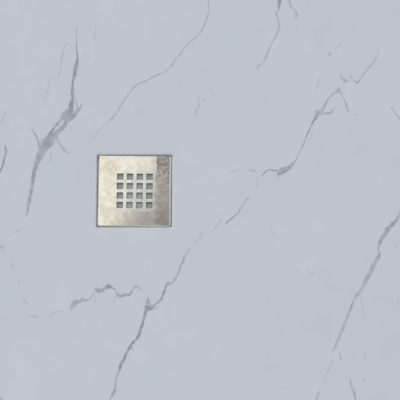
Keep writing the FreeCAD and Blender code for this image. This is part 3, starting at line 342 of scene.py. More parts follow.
POINT_GAP = 2.4             # from one point of a vein to the next
FEATHER = 2.2               # width of a vein's soft edge
WOBBLE = 0.9                # how far a vein strays to its sides
WOBBLE_LENGTH = 8.0
WOBBLE_SEED = 3             # not 0, with which Blender's clock would shape the veins
SWELL = 0.3                 # share by which its width changes along it
LEAST_HALF_WIDTH = 0.35
INNER_ROW = 0.4             # place of a wide vein's inner rows, a share of its half width
CLOSEST = 0.7               # least gap between two points
GRID_STEP = 10.0            # between points away from the veins
GRID_HALF_X = 496.0
GRID_HALF_Y = 395.0
VEIN_CELL = 4.0             # the grid keeps off cells of this size that hold a vein
CLEAR_OF_LOOP = 4.0
OUTER_WALL_HEIGHTS = (21.0, 10.0, 0.0)
RECESS_WALL_HEIGHTS = (20.0, RECESS_FLOOR)
FLOOR_SHARES = (0.4, 0.75, 1.0)     # rings on the recess floor, from its wall to the hole
EDGE_BENDS = 5              # steps round each rounded edge, outside and inside the skin
INNER_EDGE_BENDS = 3
INNER_RECESS_BENDS = 2
LEAST_CORNER_BENDS = 5
JOIN_WITHIN = 1e-4
TINY = 1e-9
HALVINGS = 24
SHARP_ANGLE = math.radians(40)

# Outlines that the mesh follows, each with the gap between its points.
LOOPS = ((TOP_EDGE, 2.5), (PAN_RIM, 8.0), (DISH_RIM, 5.0), (MARGIN, 3.0), (RECESS_EDGE, 2.0))


def ring_distance(points, outline):
    """Signed distance from the points to a rounded rectangle, plus outside."""
    centre, half_x, half_y, radius, _ = outline
    x = np.abs(points[:, 0] - centre) - (half_x - radius)
    y = np.abs(points[:, 1]) - (half_y - radius)
    outside = np.hypot(np.maximum(x, 0), np.maximum(y, 0))
    return outside + np.minimum(np.maximum(x, y), 0) - radius


def between(low, high, t):
    """Outlines part of the way from one to the other, t being an array."""
    return [a + (b - a) * t for a, b in zip(low, high)]


def slope_height(points, low, high):
    """Height on the straight-sided slope from one outline up to a wider one."""
    near = np.zeros(len(points))
    far = np.ones(len(points))
    for _ in range(HALVINGS):
        middle = (near + far) / 2
        out = ring_distance(points, between(low, high, middle)) > 0
        near = np.where(out, middle, near)
        far = np.where(out, far, middle)
    return low[4] + (high[4] - low[4]) * (near + far) / 2


def top_height(points):
    """Height of the tray's upper face over the points of its plan."""
    height = np.full(len(points), TRAY_TOP)
    for low, high in ((DISH_RIM, PAN_RIM), (MARGIN, DISH_RIM)):
        inside = ring_distance(points, high) < 0
        height[inside] = slope_height(points[inside], low, high)
    height[ring_distance(points, MARGIN) < 0] = MARGIN[4]
    return height


def photo_to_tray(pixels):
    """Places on the tray's upper face that the photograph's pixels show."""
    pixels = np.asarray(pixels, float)
    forward = np.array([0, math.cos(ELEVATION), -math.sin(ELEVATION)])
    up = np.array([0, math.sin(ELEVATION), math.cos(ELEVATION)])
    eye = np.array(AIM) - DISTANCE * forward
    across = (pixels[:, 0] - PHOTO_SIDE / 2) / PIXELS_PER_SLOPE
    rise = (PHOTO_SIDE / 2 - pixels[:, 1]) / PIXELS_PER_SLOPE
    rays = forward + np.outer(across, [1, 0, 0]) + np.outer(rise, up)
    height = np.full(len(pixels), AIM[2])
    for _ in range(AIMING_ROUNDS):
        places = eye + rays * ((height - eye[2]) / rays[:, 2])[:, None]
        height = top_height(places[:, :2])
    return places[:, :2]


def smooth_route(points, step):
    """Points every step along a smooth curve through the given ones (x, y, width)."""
    points = np.array(points)
    ends = np.vstack([2 * points[0] - points[1], points, 2 * points[-1] - points[-2]])
    route = []
    for a, b, c, d in zip(ends, ends[1:], ends[2:], ends[3:]):
        count = max(1, round(math.dist(b[:2], c[:2]) / step))
        for t in np.arange(count) / count:
            route.append(0.5 * (2 * b + (c - a) * t + (2 * a - 5 * b + 4 * c - d) * t ** 2
                                + (3 * b - a - 3 * c + d) * t ** 3))
    route.append(points[-1])
    return np.array(route)


def vein_route(width, places):
    """Centre line and half widths of one vein on the tray, in mm."""
    pixels = [place[:2] for place in places]
    widths = [place[2] if len(place) > 2 else width for place in places]
    scale = DISTANCE / PIXELS_PER_SLOPE
    halves = np.array(widths) * scale / 2
    route = smooth_route(np.column_stack([photo_to_tray(pixels), halves]), POINT_GAP)
    for place in route:
        shift = noise.noise_vector(Vector((place[0] / WOBBLE_LENGTH, place[1] / WOBBLE_LENGTH, 0)))
        place[0] += shift.x * WOBBLE
        place[1] += shift.y * WOBBLE
        place[2] *= 1 + SWELL * shift.z
    route[:, 2] = np.maximum(route[:, 2], LEAST_HALF_WIDTH)
    return route


def vein_rows(route):
    """Points for the mesh on both sides of a vein's centre line."""
    along = np.gradient(route[:, :2], axis=0)
    along /= np.linalg.norm(along, axis=1)[:, None] + TINY
    side = np.column_stack([-along[:, 1], along[:, 0]])
    half = route[:, 2:3]
    feather = np.minimum(half, FEATHER)
    rows = [route[:, :2]]
    for end, outward in ((0, -1), (-1, 1)):
        reach = half[end, 0] + feather[end, 0]
        tip = route[end, :2] + along[end] * outward * reach
        rows.append(np.array([tip, tip + side[end] * reach, tip - side[end] * reach]))
    for offset in (half - feather, half, half + feather):
        rows.append(route[:, :2] + side * offset)
        rows.append(route[:, :2] - side * offset)
    wide = half[:, 0] > 2 * FEATHER
    for share in (-INNER_ROW, INNER_ROW):
        rows.append((route[:, :2] + side * half * share)[wide])
    return np.vstack(rows)


def vein_mask(points, routes):
    """How far each point lies in a vein, from 0 outside through 0.5 at its edge to 1."""
    mask = np.zeros(len(points))
    depth = np.zeros(len(points))
    for route, tone in routes:
        reach = route[:, 2].max() + FEATHER
        low = route[:, :2].min(axis=0) - reach
        high = route[:, :2].max(axis=0) + reach
        near = np.flatnonzero(np.all((points > low) & (points < high), axis=1))
        if not len(near):
            continue
        start, end = route[:-1], route[1:]
        run = end[:, :2] - start[:, :2]
        length = np.maximum((run ** 2).sum(axis=1), TINY)
        offset = points[near][:, None, :] - start[None, :, :2]
        t = np.clip((offset * run).sum(axis=2) / length, 0, 1)
        gap = np.linalg.norm(offset - t[:, :, None] * run, axis=2)
        half = start[:, 2] + t * (end[:, 2] - start[:, 2])
        value = 0.5 + (half - gap) / (2 * np.minimum(half, FEATHER))
        value = np.clip(value, 0, 1).max(axis=1)
        better = value > mask[near]
        mask[near[better]] = value[better]
        depth[near[better]] = tone
    return mask, depth


def ring_points(outline, step):
    """Points round a rounded rectangle, anticlockwise."""
    centre, half_x, half_y, radius, _ = outline
    points = []
    for turn, (reach, side) in enumerate([(half_x, half_y), (half_y, half_x)] * 2):
        spin = Matrix.Rotation(math.radians(90 * turn), 2)
        corner = Vector((reach - radius, side - radius))
        straight = 2 * (side - radius)
        for share in np.arange(0, 1, 1 / max(1, round(straight / step))):
            points.append(spin @ Vector((reach, radius - side + straight * share)))
        bends = max(LEAST_CORNER_BENDS, round(math.pi / 2 * radius / step))
        for angle in np.arange(bends) * math.pi / 2 / bends:
            points.append(spin @ (corner + radius * Vector((math.cos(angle), math.sin(angle)))))
    return np.array([(p.x + centre, p.y) for p in points])


def ring_outward(points, outline):
    """Unit vectors straight out of a rounded rectangle at points on it."""
    centre, half_x, half_y, radius, _ = outline
    shift = points - [centre, 0]
    beyond = np.maximum(np.abs(shift) - [half_x - radius, half_y - radius], 0) * np.sign(shift)
    return beyond / np.linalg.norm(beyond, axis=1)[:, None]


def grid_beside(rows):
    """Even grid of points over the tray, left out where the rows of vein points run."""
    step_y = GRID_STEP * math.sqrt(3) / 2
    grid = [(x + (j % 2) * GRID_STEP / 2, y)
            for j, y in enumerate(np.arange(-GRID_HALF_Y, GRID_HALF_Y + 1, step_y))
            for x in np.arange(-GRID_HALF_X, GRID_HALF_X + 1, GRID_STEP)]
    grid = np.array(grid)
    cells = set(map(tuple, np.round(rows / VEIN_CELL).astype(int)))
    around = [(i, j) for i in (-1, 0, 1) for j in (-1, 0, 1)]
    free = [not any((i + a, j + b) in cells for a, b in around)
            for i, j in np.round(grid / VEIN_CELL).astype(int)]
    return grid[free]


def on_top(points):
    """Which points lie on the tray's upper face, inside its edge and outside the recess."""
    return (ring_distance(points, TOP_EDGE) < 0) & (ring_distance(points, RECESS_EDGE) > 0)


def top_patch(routes):
    """Triangles of the tray's upper face, close together along the veins."""
    loops = [ring_points(outline, step) for outline, step in LOOPS]
    edges = []
    start = 0
    for loop in loops:
        edges += [(start + i, start + (i + 1) % len(loop)) for i in range(len(loop))]
        start += len(loop)
    rows = np.vstack([vein_rows(route) for route, _ in routes])
    _, first = np.unique(np.round(rows / CLOSEST), axis=0, return_index=True)
    rows = rows[np.sort(first)]
    grid = grid_beside(rows)
    for outline, _ in LOOPS:
        grid = grid[np.abs(ring_distance(grid, outline)) > CLEAR_OF_LOOP]
        rows = rows[np.abs(ring_distance(rows, outline)) > CLOSEST]
    loose = np.vstack([rows, grid])
    points = np.vstack(loops + [loose[on_top(loose)]])
    found = delaunay_2d_cdt([Vector(p) for p in points], edges, [], 0, JOIN_WITHIN)
    places = np.array([(v.x, v.y) for v in found[0]])
    faces = np.array(found[2])
    return places, faces[on_top(places[faces].mean(axis=1))]


def boundary_loops(faces):
    """Boundary of the triangles as ordered loops of vertex numbers, the shortest first."""
    sides = [(int(a), int(b)) for face in faces for a, b in zip(face, np.roll(face, -1))]
    taken = set(sides)
    follow = {a: b for a, b in sides if (b, a) not in taken}
    loops = []
    while follow:
        start = next(iter(follow))
        loop = [start]
        step = follow.pop(start)
        while step != start:
            loop.append(step)
            step = follow.pop(step)
        loops.append(loop)
    return sorted(loops, key=len)


def bend_profile(radius, top, count):
    """Steps (out, height) round the quarter circle from a top face down to a wall."""
    angles = [math.pi / 2 * i / count for i in range(count + 1)]
    return [(radius * math.sin(a), top - radius + radius * math.cos(a)) for a in angles]


def ring_at(places, height):
    """Points over the given places, all at one height."""
    return np.column_stack([places, np.full(len(places), height)])


def edge_rings(edge):
    """Rings round the tray's edge, down its wall and back up inside the skin."""
    out = ring_outward(edge, TOP_EDGE)
    profile = bend_profile(EDGE_RADIUS, TRAY_TOP, EDGE_BENDS)[1:]
    profile += [(EDGE_RADIUS, z) for z in OUTER_WALL_HEIGHTS]
    profile += [(EDGE_RADIUS - SKIN, OUTER_WALL_HEIGHTS[-1])]
    profile += bend_profile(EDGE_RADIUS - SKIN, TRAY_TOP - SKIN, INNER_EDGE_BENDS)[:0:-1]
    return [ring_at(edge + out * reach, z) for reach, z in profile]


def recess_rings(edge):
    """Rings down the recess's wall, over its floor to the waste hole, and back inside."""
    out = -ring_outward(edge, RECESS_EDGE)
    profile = bend_profile(RECESS_EDGE_RADIUS, RECESS_TOP, EDGE_BENDS)[1:]
    profile += [(RECESS_EDGE_RADIUS, z) for z in RECESS_WALL_HEIGHTS]
    rings = [ring_at(edge + out * reach, z) for reach, z in profile]
    foot = edge + out * RECESS_EDGE_RADIUS
    inner_foot = edge + out * (RECESS_EDGE_RADIUS - SKIN)
    away = foot - [DRAIN_X, 0]
    hole = away / np.linalg.norm(away, axis=1)[:, None] * WASTE_HOLE + [DRAIN_X, 0]
    rings += [ring_at(foot + (hole - foot) * share, RECESS_FLOOR) for share in FLOOR_SHARES]
    rings += [ring_at(inner_foot + (hole - inner_foot) * share, RECESS_FLOOR - SKIN)
              for share in FLOOR_SHARES[::-1] + (0.0,)]
    inner_radius = RECESS_EDGE_RADIUS - SKIN
    profile = bend_profile(inner_radius, RECESS_TOP - SKIN, INNER_RECESS_BENDS)[:0:-1]
    return rings + [ring_at(edge + out * reach, z) for reach, z in profile]


def quads_between(first, second):
    """Quads that join two loops of vertex numbers."""
    turned = zip(first, first[1:] + first[:1], second, second[1:] + second[:1])
    return [(first_next, first_here, second_here, second_next)
            for first_here, first_next, second_here, second_next in turned]


def marble_skin(routes, windows):
    """The gelcoat skin: upper face, outer walls, recess and its floor, one mm thick."""
    places, faces = top_patch(routes)
    upper = np.column_stack([places, top_height(places)])
    count = len(places)
    points = [upper, upper - [0, 0, SKIN]]
    polygons = [tuple(f) for f in faces] + [tuple(int(v) + count for v in f[::-1]) for f in faces]
    total = 2 * count
    recess_loop, outer_loop = boundary_loops(faces)
    for loop, rings in ((outer_loop, edge_rings(places[outer_loop])),
                        (recess_loop, recess_rings(places[recess_loop]))):
        previous = loop
        for ring in rings:
            current = list(range(total, total + len(ring)))
            polygons += quads_between(previous, current)
            points.append(ring)
            total += len(ring)
            previous = current
        polygons += quads_between(previous, [v + count for v in loop])
    return skin_object(np.vstack(points), polygons, routes, windows)


def skin_object(vertices, polygons, routes, windows):
    """The skin as an object whose points carry how far and how deep a vein runs there."""
    mesh = bpy.data.meshes.new("marble_skin")
    mesh.from_pydata([tuple(v * MM) for v in vertices], [], polygons)
    mesh.validate()
    mask, depth = vein_mask(vertices[:, :2], routes)
    light, share = vein_mask(vertices[:, :2], windows)
    mask = np.clip(mask - light * share, 0, 1)
    for name, values in (("vein", mask), ("depth", depth)):
        layer = mesh.attributes.new(name, "FLOAT", "POINT")
        layer.data.foreach_set("value", values.astype(np.float32))
    mesh.shade_smooth()
    mesh.set_sharp_from_angle(angle=SHARP_ANGLE)
    item = bpy.data.objects.new("marble_skin", mesh)
    bpy.context.scene.collection.objects.link(item)
    return item


# ---------------------------------------------------------------- tones, as display levels

GELCOAT_DEEP = (190, 195, 204)
GELCOAT_LIGHT = (194, 199, 208)
GELCOAT_COOL = (187, 194, 203)
GELCOAT_LILAC = (194, 196, 209)
GELCOAT_GREENISH = (188, 200, 204)
VEIN_GREY = (134, 140, 147)
RECESS_PAINTED_LIGHT = (242, 243, 246)
RECESS_SHADE = (136, 141, 146)
RESIN_DARK = (187, 185, 180)
RESIN_LIGHT = (203, 201, 196)
RESIN_GRIT = (150, 147, 142)
GREY_PLASTIC = (176, 178, 176)
GREY_PLASTIC_SHADE = (166, 169, 166)
WHITE_PLASTIC = (221, 221, 217)
WHITE_PLASTIC_SHADE = (213, 212, 205)
STEEL_LIGHT = (196, 196, 197)
STEEL_DARK = (160, 160, 162)
BRASS_LIGHT = (206, 173, 104)
BRASS_DARK = (170, 136, 72)
RUBBER_DARK = (38, 38, 39)
RUBBER_LIGHT = (54, 54, 54)
UNDER_GRATE_SHADE = (150, 155, 154)
PLATE_REFLECTION_CREAM = (207, 201, 185)
PLATE_REFLECTION_PALE = (209, 206, 197)
PLATE_REFLECTION_GREY = (149, 145, 139)
PLATE_REFLECTED_BAND = (127, 123, 119)
PLATE_REFLECTED_BAND_MIDDLE = (141, 137, 133)
PLATE_FOOT_SHADE = (112, 107, 103)
PLATE_RIM_HIGHLIGHT = (224, 224, 219)
PLATE_RIM_HIGHLIGHT_RIGHT = (197, 200, 206)
PLATE_LIP_LIGHT = (241, 241, 239)
PLATE_BARS = (192, 196, 193)
SPECK_DARK = (84, 77, 73)
SPECK_LIGHT = (176, 172, 168)
BRUSH_DARK = (136, 132, 127)
STREAK_LIGHT = (204, 202, 197)
GRAIN_DARK = (118, 115, 110)
STAGE_TONE = (226, 227, 229)

# Stains on the plate: (x, y, half width, half height, share, tone), in mm from its middle.
STAINS = (
    (-37, 36, 9, 15, .5, (190, 177, 150)),
    (-47, 40, 10, 16, .4, (208, 193, 152)),
    (-27, -2, 8, 32, .3, (208, 198, 160)),
    (4, 39, 9, 11, .35, (203, 187, 176)),
    (46, -50, 12, 10, .5, (108, 98, 92)),
    (31, -12, 7, 36, .3, (170, 154, 145)),
    (-45, -32, 13, 14, .45, (190, 184, 171)),
)
BAND_EDGE = 34.5            # where the painted reflection's dark band starts, in mm right of the plate's middle
FAR_SIDE_START = 50.0       # where the recess's left and back sides start

# ---------------------------------------------------------------- materials


def linear(*levels):
    """Colour from its display levels, 0 to 255."""
    tones = [level / 255 for level in levels]
    return [t / 12.92 if t <= 0.04045 else ((t + 0.055) / 1.055) ** 2.4 for t in tones] + [1]


class Finish:
    """A material under construction, with short calls for its nodes."""

    def __init__(self, name, **settings):
        self.material = bpy.data.materials.new(name)
        self.material.use_nodes = True
        self.tree = self.material.node_tree
        self.shader = self.tree.nodes["Principled BSDF"]
        self.place = self.tree.nodes.new("ShaderNodeTexCoord").outputs["Object"]
        for socket, setting in settings.items():
            self.shader.inputs[socket.replace("_", " ")].default_value = setting

    def put(self, target, value):
        """Link a socket, or set a plain value."""
        if isinstance(value, bpy.types.NodeSocket):
            self.tree.links.new(value, target)
        else:
            target.default_value = value

    def node(self, kind, output, inputs, **settings):
        made = self.tree.nodes.new("ShaderNode" + kind)
        for name, setting in settings.items():
            setattr(made, name, setting)
        for name, value in inputs.items():
            self.put(made.inputs[name], value)
        return made.outputs[output]

    def stretched(self, scale, shift=(0, 0, 0), turn=0):
        return self.node("Mapping", "Vector", {
            "Vector": self.place, "Scale": scale, "Location": shift,
            "Rotation": (0, 0, math.radians(turn))})

    def noise(self, scale, detail=3, rough=0.5, warp=0, place=None):
        return self.node("TexNoise", "Fac", {
            "Vector": place or self.place, "Scale": scale, "Detail": detail,
            "Roughness": rough, "Distortion": warp})

    def swing(self, *settings):
        """Noise that goes as far below nought as above it."""
        return self.math("SUBTRACT", self.noise(*settings), 0.5)

    def speckle(self, scale):
        return self.node("TexVoronoi", "Distance", {"Vector": self.place, "Scale": scale})

    def math(self, operation, first, second=0.0, third=0.0):
        made = self.tree.nodes.new("ShaderNodeMath")
        made.operation = operation
        for target, value in zip(made.inputs, (first, second, third)):
            self.put(target, value)
        return made.outputs[0]

    def times(self, first, second):
        return self.math("MULTIPLY", first, second)

    def absolute(self, value):
        return self.math("ABSOLUTE", value)

    def larger(self, first, second):
        return self.math("MAXIMUM", first, second)

    def ease(self, value, low, high, to_low=0.0, to_high=1.0):
        """A soft step from one value to another; low may be above high."""
        return self.node("MapRange", "Result", {
            "Value": value, "From Min": low, "From Max": high,
            "To Min": to_low, "To Max": to_high}, interpolation_type="SMOOTHSTEP")

    def mix(self, share, first, second):
        made = self.tree.nodes.new("ShaderNodeMix")
        made.data_type = "RGBA"
        self.put(made.inputs["Factor"], share)
        self.put(made.inputs[6], first)
        self.put(made.inputs[7], second)
        return made.outputs[2]

    def drain_axes(self):
        """Places x, y and z in mm, x and y from the drain's axis."""
        made = self.tree.nodes.new("ShaderNodeSeparateXYZ")
        self.put(made.inputs[0], self.stretched([1 / MM] * 3, (-DRAIN_X, 0, 0)))
        return made.outputs

    def colour(self, value):
        self.put(self.shader.inputs["Base Color"], value)

    def roughness(self, value):
        self.put(self.shader.inputs["Roughness"], value)

    def bump(self, height, strength, distance):
        made = self.node("Bump", "Normal", {
            "Height": height, "Strength": strength, "Distance": distance})
        self.tree.links.new(made, self.shader.inputs["Normal"])


def marble_gelcoat():
    """Cool pale grey with faint clouds, and grey veins where the mesh says they run.

    The recess's wall is painted paler, painted light in the shaded gap round the plate; its lip has
    painted shade on the left and at the back.
    """
    f = Finish("marble_gelcoat", Coat_Weight=0.15, Coat_Roughness=0.25, Specular_IOR_Level=0.35)
    clouds = f.noise(22, 3, 0.5, 0.6)
    wide = f.noise(7, 2, 0.5, 0.4, f.stretched((1, 1, 1), (3, 1, 0)))
    tint = f.noise(26, 2, 0.5, 0.8, f.stretched((1, 1, 1), (7, 4, 2)))
    ground = f.mix(f.ease(clouds, 0.3, 0.7), linear(*GELCOAT_DEEP), linear(*GELCOAT_LIGHT))
    ground = f.mix(f.ease(wide, 0.35, 0.65, 0, 0.4), ground, linear(*GELCOAT_COOL))
    ground = f.mix(f.ease(tint, 0.5, 0.75, 0, 0.3), ground, linear(*GELCOAT_LILAC))
    ground = f.mix(f.ease(tint, 0.5, 0.25, 0, 0.3), ground, linear(*GELCOAT_GREENISH))

    vein = f.node("Attribute", "Fac", {}, attribute_name="vein")
    depth = f.node("Attribute", "Fac", {}, attribute_name="depth")
    knobs = f.math("MULTIPLY_ADD", f.swing(150, 3, 0.6, 0.5), 0.8, vein)
    ragged = f.math("MULTIPLY_ADD", f.swing(300, 4, 0.65), 0.8, knobs)
    depth = f.times(depth, f.ease(f.noise(90, 3, 0.6), 0.32, 0.62, 0.62, 1.12))
    marked = f.times(f.ease(ragged, 0.22, 0.72), depth)

    x, y, z = f.drain_axes()
    lip_half = RECESS_EDGE[1]
    off_middle = f.larger(f.absolute(x), f.absolute(y))
    far_side = f.larger(f.ease(x, -FAR_SIDE_START, -PLATE_HALF),
                        f.ease(y, FAR_SIDE_START, PLATE_HALF))
    height = f.math("MULTIPLY_ADD", far_side, 0.7, z)
    # Painted light: the recess's wall and floor paler than the top, to lighten the shaded gap round
    # the plate.
    wall = f.times(f.ease(off_middle, lip_half - 0.2, lip_half - 1.0),
                   f.ease(height, RECESS_TOP + 0.4, RECESS_TOP - 0.8))
    ground = f.mix(wall, ground, linear(*RECESS_PAINTED_LIGHT))
    # Painted shade on the recess's lip, at the left and at the back.
    lip = f.times(f.ease(off_middle, lip_half + 0.2, lip_half - 0.8),
                  f.ease(z, RECESS_TOP - 1.1, RECESS_TOP - 0.3, 0, 0.6))
    ground = f.mix(f.times(lip, far_side), ground, linear(*RECESS_SHADE))

    f.colour(f.mix(marked, ground, linear(*VEIN_GREY)))
    f.roughness(f.ease(f.noise(60, 3), 0.3, 0.7, 0.36, 0.46))
    f.bump(f.noise(420, 2), 0.05, 0.0004)
    return f.material


def raw_resin():
    """Ground mineral resin: even grey with dark grit."""
    f = Finish("raw_resin", Specular_IOR_Level=0.3)
    cast = f.ease(f.noise(18, 4, 0.6), 0.3, 0.7)
    body = f.mix(cast, linear(*RESIN_DARK), linear(*RESIN_LIGHT))
    f.colour(f.mix(f.ease(f.speckle(900), 0.18, 0.05, 0, 0.5), body, linear(*RESIN_GRIT)))
    f.roughness(f.ease(f.noise(40, 3), 0.3, 0.7, 0.62, 0.8))
    f.bump(f.noise(500, 4, 0.6), 0.35, 0.0006)
    return f.material


def moulded(name, level, flow_level):
    """Moulded polypropylene: even tone, flow marks in a second one, light grain.

    Round the catcher's middle, above the trap, it is darker away from the axis: painted shade under
    the grate's edges.
    """
    f = Finish(name, Specular_IOR_Level=0.4, Subsurface_Weight=0.03)
    flow = f.noise(14, 3, 0.5, 1.2, f.stretched((1, 1, 0.3)))
    plastic = f.mix(f.ease(flow, 0.3, 0.7, 0, 0.8), linear(*level), linear(*flow_level))
    x, y, z = f.drain_axes()
    # Painted shade away from the drain's axis, where the grate's plate shades the parts below it.
    under_grate_shade = f.larger(f.ease(f.absolute(x), 13.5, 18.5), f.ease(y, 14, 20, 0, 0.7))
    under_grate_shade = f.times(under_grate_shade, f.ease(z, 4, 10, 0, 0.8))
    f.colour(f.mix(under_grate_shade, plastic, linear(*UNDER_GRATE_SHADE)))
    f.roughness(f.ease(f.noise(90, 3), 0.3, 0.7, 0.36, 0.5))
    f.bump(f.noise(1400, 2), 0.12, 0.0002)
    return f.material


def black_rubber():
    """Matt moulded rubber with a faint bloom."""
    f = Finish("black_rubber", Specular_IOR_Level=0.35)
    bloom = f.ease(f.noise(60, 4, 0.6), 0.3, 0.7)
    f.colour(f.mix(bloom, linear(*RUBBER_DARK), linear(*RUBBER_LIGHT)))
    f.roughness(f.ease(f.noise(120, 3), 0.3, 0.7, 0.6, 0.78))
    f.bump(f.noise(1800, 2), 0.25, 0.0002)
    return f.material


def turned_metal(name, light, dark, scale):
    """Machined metal with fine rings of tool marks."""
    f = Finish(name, Metallic=1.0)
    marks = f.noise(scale, 2, 0.5, 0, f.stretched((0.15, 0.15, 4)))
    f.colour(f.mix(f.ease(marks, 0.35, 0.65), linear(*light), linear(*dark)))
    f.roughness(f.ease(f.noise(160, 3), 0.3, 0.7, 0.24, 0.4))
    f.bump(marks, 0.15, 0.0002)
    return f.material


def reflected_band(f, plate, x, y):
    """The plate with a painted reflection: a speckled dark band at the right, sharp at the top and
    soft below, and painted shade at its bottom right.
    """
    # Painted reflection of a dark band at the right.
    soft = f.math("MULTIPLY_ADD", f.ease(y, 34, 8), 9.0, 1.4)
    ragged = f.math("MULTIPLY_ADD", f.swing(60, 3), 5.0, x)
    band = f.ease(ragged, f.math("SUBTRACT", BAND_EDGE, soft), f.math("ADD", BAND_EDGE, soft))
    middle = f.times(f.ease(y, 44, 22), f.ease(y, -40, -8))
    reflected_dark = f.mix(middle, linear(*PLATE_REFLECTED_BAND), linear(*PLATE_REFLECTED_BAND_MIDDLE))
    plate = f.mix(band, plate, reflected_dark)
    # Painted shade: darker towards the plate's bottom right.
    foot = f.times(f.ease(y, -16, -54), f.ease(x, -36, 44))
    plate = f.mix(f.times(foot, 0.26), plate, linear(*PLATE_FOOT_SHADE))
    # Speckles within the painted reflection.
    speckled_reflection = f.times(band, f.ease(y, -12, 30, 0.2, 1.0))
    specks = f.noise(520, 2, 0.6)
    dark = f.times(speckled_reflection, f.ease(specks, 0.5, 0.62, 0, 0.8))
    plate = f.mix(dark, plate, linear(*SPECK_DARK))
    light = f.times(speckled_reflection, f.ease(specks, 0.47, 0.36, 0, 0.7))
    return f.mix(light, plate, linear(*SPECK_LIGHT))


def stained(f, plate, x, y, broad):
    """The plate with its water stains."""
    for centre_x, centre_y, half_x, half_y, share, tone in STAINS:
        reach = f.math("MULTIPLY_ADD", f.math("SUBTRACT", x, centre_x), 1 / half_x,
                       f.times(broad, 3.0))
        rise = f.times(f.math("SUBTRACT", y, centre_y), 1 / half_y)
        away = f.math("ADD", f.times(reach, reach), f.times(rise, rise))
        plate = f.mix(f.ease(away, 1.0, 0.0, 0, share), plate, linear(*tone))
    return plate


def brushed_stainless():
    """Brushed plate with a painted reflection, cream at the left and greyer to the right, and a
    painted highlight on its pale rounded rim.

    The places are in mm from the drain's axis.
    """
    f = Finish("brushed_stainless", Metallic=0.7, Anisotropic=0.35)
    x, y, z = f.drain_axes()
    broad = f.swing(26, 3, 0.5, 0.6)
    grain = f.noise(1900, 2, 0.6)
    brushed = f.noise(1, 3, 0.65, 0, f.stretched((90, 2400, 200)))
    slant = f.noise(1, 2, 0.6, 0, f.stretched((150, 1500, 200), turn=35))

    # Painted reflection: cream at the left, greyer to the right.
    across = f.math("MULTIPLY_ADD", y, -0.5, f.math("MULTIPLY_ADD", broad, 26.0, x))
    plate = f.mix(f.ease(across, -38, 44), linear(*PLATE_REFLECTION_CREAM), linear(*PLATE_REFLECTION_GREY))
    # Painted reflection: paler towards the top, on the left and middle.
    pale = f.times(f.ease(y, 14, 42), f.ease(x, 52, 14))
    plate = f.mix(f.times(pale, 0.62), plate, linear(*PLATE_REFLECTION_PALE))
    plate = reflected_band(f, plate, x, y)
    plate = stained(f, plate, x, y, broad)

    bars = f.times(f.ease(f.absolute(x), 34, 27),
                   f.ease(f.absolute(f.math("ADD", y, 0.6)), 34, 27))
    plate = f.mix(f.times(bars, 0.5), plate, linear(*PLATE_BARS))
    plate = f.mix(f.ease(brushed, 0.35, 0.7, 0, 0.10), plate, linear(*BRUSH_DARK))
    streaks = f.times(f.ease(slant, 0.5, 0.7, 0, 0.22), f.ease(y, -18, -34))
    plate = f.mix(streaks, plate, linear(*STREAK_LIGHT))
    plate = f.mix(f.ease(grain, 0.5, 0.75, 0, 0.12), plate, linear(*GRAIN_DARK))

    # Painted highlight on the plate's rounded rim, bluish at the right.
    flat_half = PLATE_HALF - PLATE_EDGE_RADIUS
    off_middle = f.larger(f.absolute(x), f.absolute(y))
    rim = f.larger(f.ease(off_middle, flat_half, flat_half + 1.4),
                   f.ease(x, flat_half - 1.0, flat_half + 0.4))
    rim_highlight = f.mix(f.ease(x, 36, 52), linear(*PLATE_RIM_HIGHLIGHT), linear(*PLATE_RIM_HIGHLIGHT_RIGHT))
    plate = f.mix(f.times(rim, 0.85), plate, rim_highlight)
    # Painted light on the plate's side below its rim, to lighten the shaded gap round it.
    lip = f.times(rim, f.ease(z, PLATE_TOP - 1.3, PLATE_TOP - 2.1))
    f.colour(f.mix(lip, plate, linear(*PLATE_LIP_LIGHT)))
    rim_metal = f.ease(rim, 0, 1, 0.7, 0.1)
    f.put(f.shader.inputs["Metallic"], f.math("MULTIPLY_ADD", lip, 0.9, rim_metal))
    rough = f.ease(f.noise(120, 3), 0.3, 0.7, 0.38, 0.5)
    f.roughness(f.math("MULTIPLY_ADD", lip, -0.2, rough))
    f.bump(f.math("ADD", brushed, f.times(grain, 0.5)), 0.1, 0.0002)
    return f.material


def floor_finish():
    """Plain matt stage floor."""
    f = Finish("stage_floor", Specular_IOR_Level=0.2)
    f.colour(linear(*STAGE_TONE))
    f.roughness(0.8)
    return f.material


# ---------------------------------------------------------------- the scene

CLIP_END = 100.0
SKY_COLOUR = (0.99, 0.995, 1, 1)
SKY_STRENGTH = 0.70
FLOOR_HALF = 6.0
FLOOR_GAP = 0.0005


def dress(finishes):
    """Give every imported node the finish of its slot."""
    for row in frame["record"]["subparts"]:
        node = frame["nodes"][row["node"]]
        finish = finishes[row["material_slot"]]
        if not node.material_slots:
            node.data.materials.append(finish)
        for slot in node.material_slots:
            slot.material = finish


def camera():
    """The photograph's view: a long lens from the front, high above the tray."""
    data = bpy.data.cameras.new("camera")
    data.lens = LENS
    data.sensor_width = SENSOR
    data.clip_end = CLIP_END
    forward = Vector((0, math.cos(ELEVATION), -math.sin(ELEVATION)))
    eye = (Vector(AIM) - DISTANCE * forward) * MM
    item = bpy.data.objects.new("camera", data)
    item.rotation_mode = "QUATERNION"
    aim = forward.to_track_quat("-Z", "Y")
    item.matrix_world = Matrix.Translation(eye) @ aim.to_matrix().to_4x4()
    bpy.context.scene.collection.objects.link(item)
    bpy.context.scene.camera = item


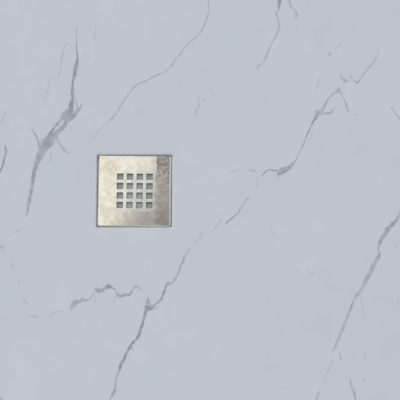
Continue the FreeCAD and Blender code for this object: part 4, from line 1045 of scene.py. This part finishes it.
def lamp(name, place, spread, strength):
    """Even light from far away, from the side of the given place, towards the origin."""
    data = bpy.data.lights.new(name, "SUN")
    data.angle = math.radians(spread)
    data.energy = strength
    item = bpy.data.objects.new(name, data)
    item.location = place
    item.rotation_euler = (-Vector(place)).to_track_quat("-Z", "Y").to_euler()
    bpy.context.scene.collection.objects.link(item)


def world():
    """Even pale light from all sides."""
    made = bpy.data.worlds.new("studio")
    made.use_nodes = True
    light = made.node_tree.nodes["Background"]
    light.inputs["Color"].default_value = SKY_COLOUR
    light.inputs["Strength"].default_value = SKY_STRENGTH
    bpy.context.scene.world = made


def floor(height):
    """Square stage floor, centred under the part."""
    corners = [(-FLOOR_HALF, -FLOOR_HALF), (FLOOR_HALF, -FLOOR_HALF),
               (FLOOR_HALF, FLOOR_HALF), (-FLOOR_HALF, FLOOR_HALF)]
    mesh = bpy.data.meshes.new("stage_floor")
    mesh.from_pydata([(x, y, height) for x, y in corners], [], [(0, 1, 2, 3)])
    mesh.materials.append(floor_finish())
    item = bpy.data.objects.new("stage_floor", mesh)
    bpy.context.scene.collection.objects.link(item)


finishes = {
    "marble_gelcoat": marble_gelcoat(),
    "raw_resin": raw_resin(),
    "brushed_stainless": brushed_stainless(),
    "grey_plastic": moulded("grey_plastic", GREY_PLASTIC, GREY_PLASTIC_SHADE),
    "white_plastic": moulded("white_plastic", WHITE_PLASTIC, WHITE_PLASTIC_SHADE),
    "black_rubber": black_rubber(),
    "screw_steel": turned_metal("screw_steel", STEEL_LIGHT, STEEL_DARK, 220),
    "insert_brass": turned_metal("insert_brass", BRASS_LIGHT, BRASS_DARK, 260),
}
dress(finishes)

noise.seed_set(WOBBLE_SEED)
vein_routes = [(vein_route(width, places), depth) for width, depth, places in VEINS.values()]
window_routes = [(vein_route(width, places), depth) for width, depth, places in WINDOWS.values()]
skin = marble_skin(vein_routes, window_routes)
skin.data.materials.append(finishes["marble_gelcoat"])
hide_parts("gelcoat_skin")
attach(skin, "root")

camera()
world()
lamp("key", place=(-0.7, 1.3, 2.6), spread=40, strength=0.72)
lamp("overhead", place=(0, 0.1, 2.6), spread=8, strength=0.11)
floor(cad_box[0].z - FLOOR_GAP)

bpy.context.scene.view_settings.view_transform = "Standard"
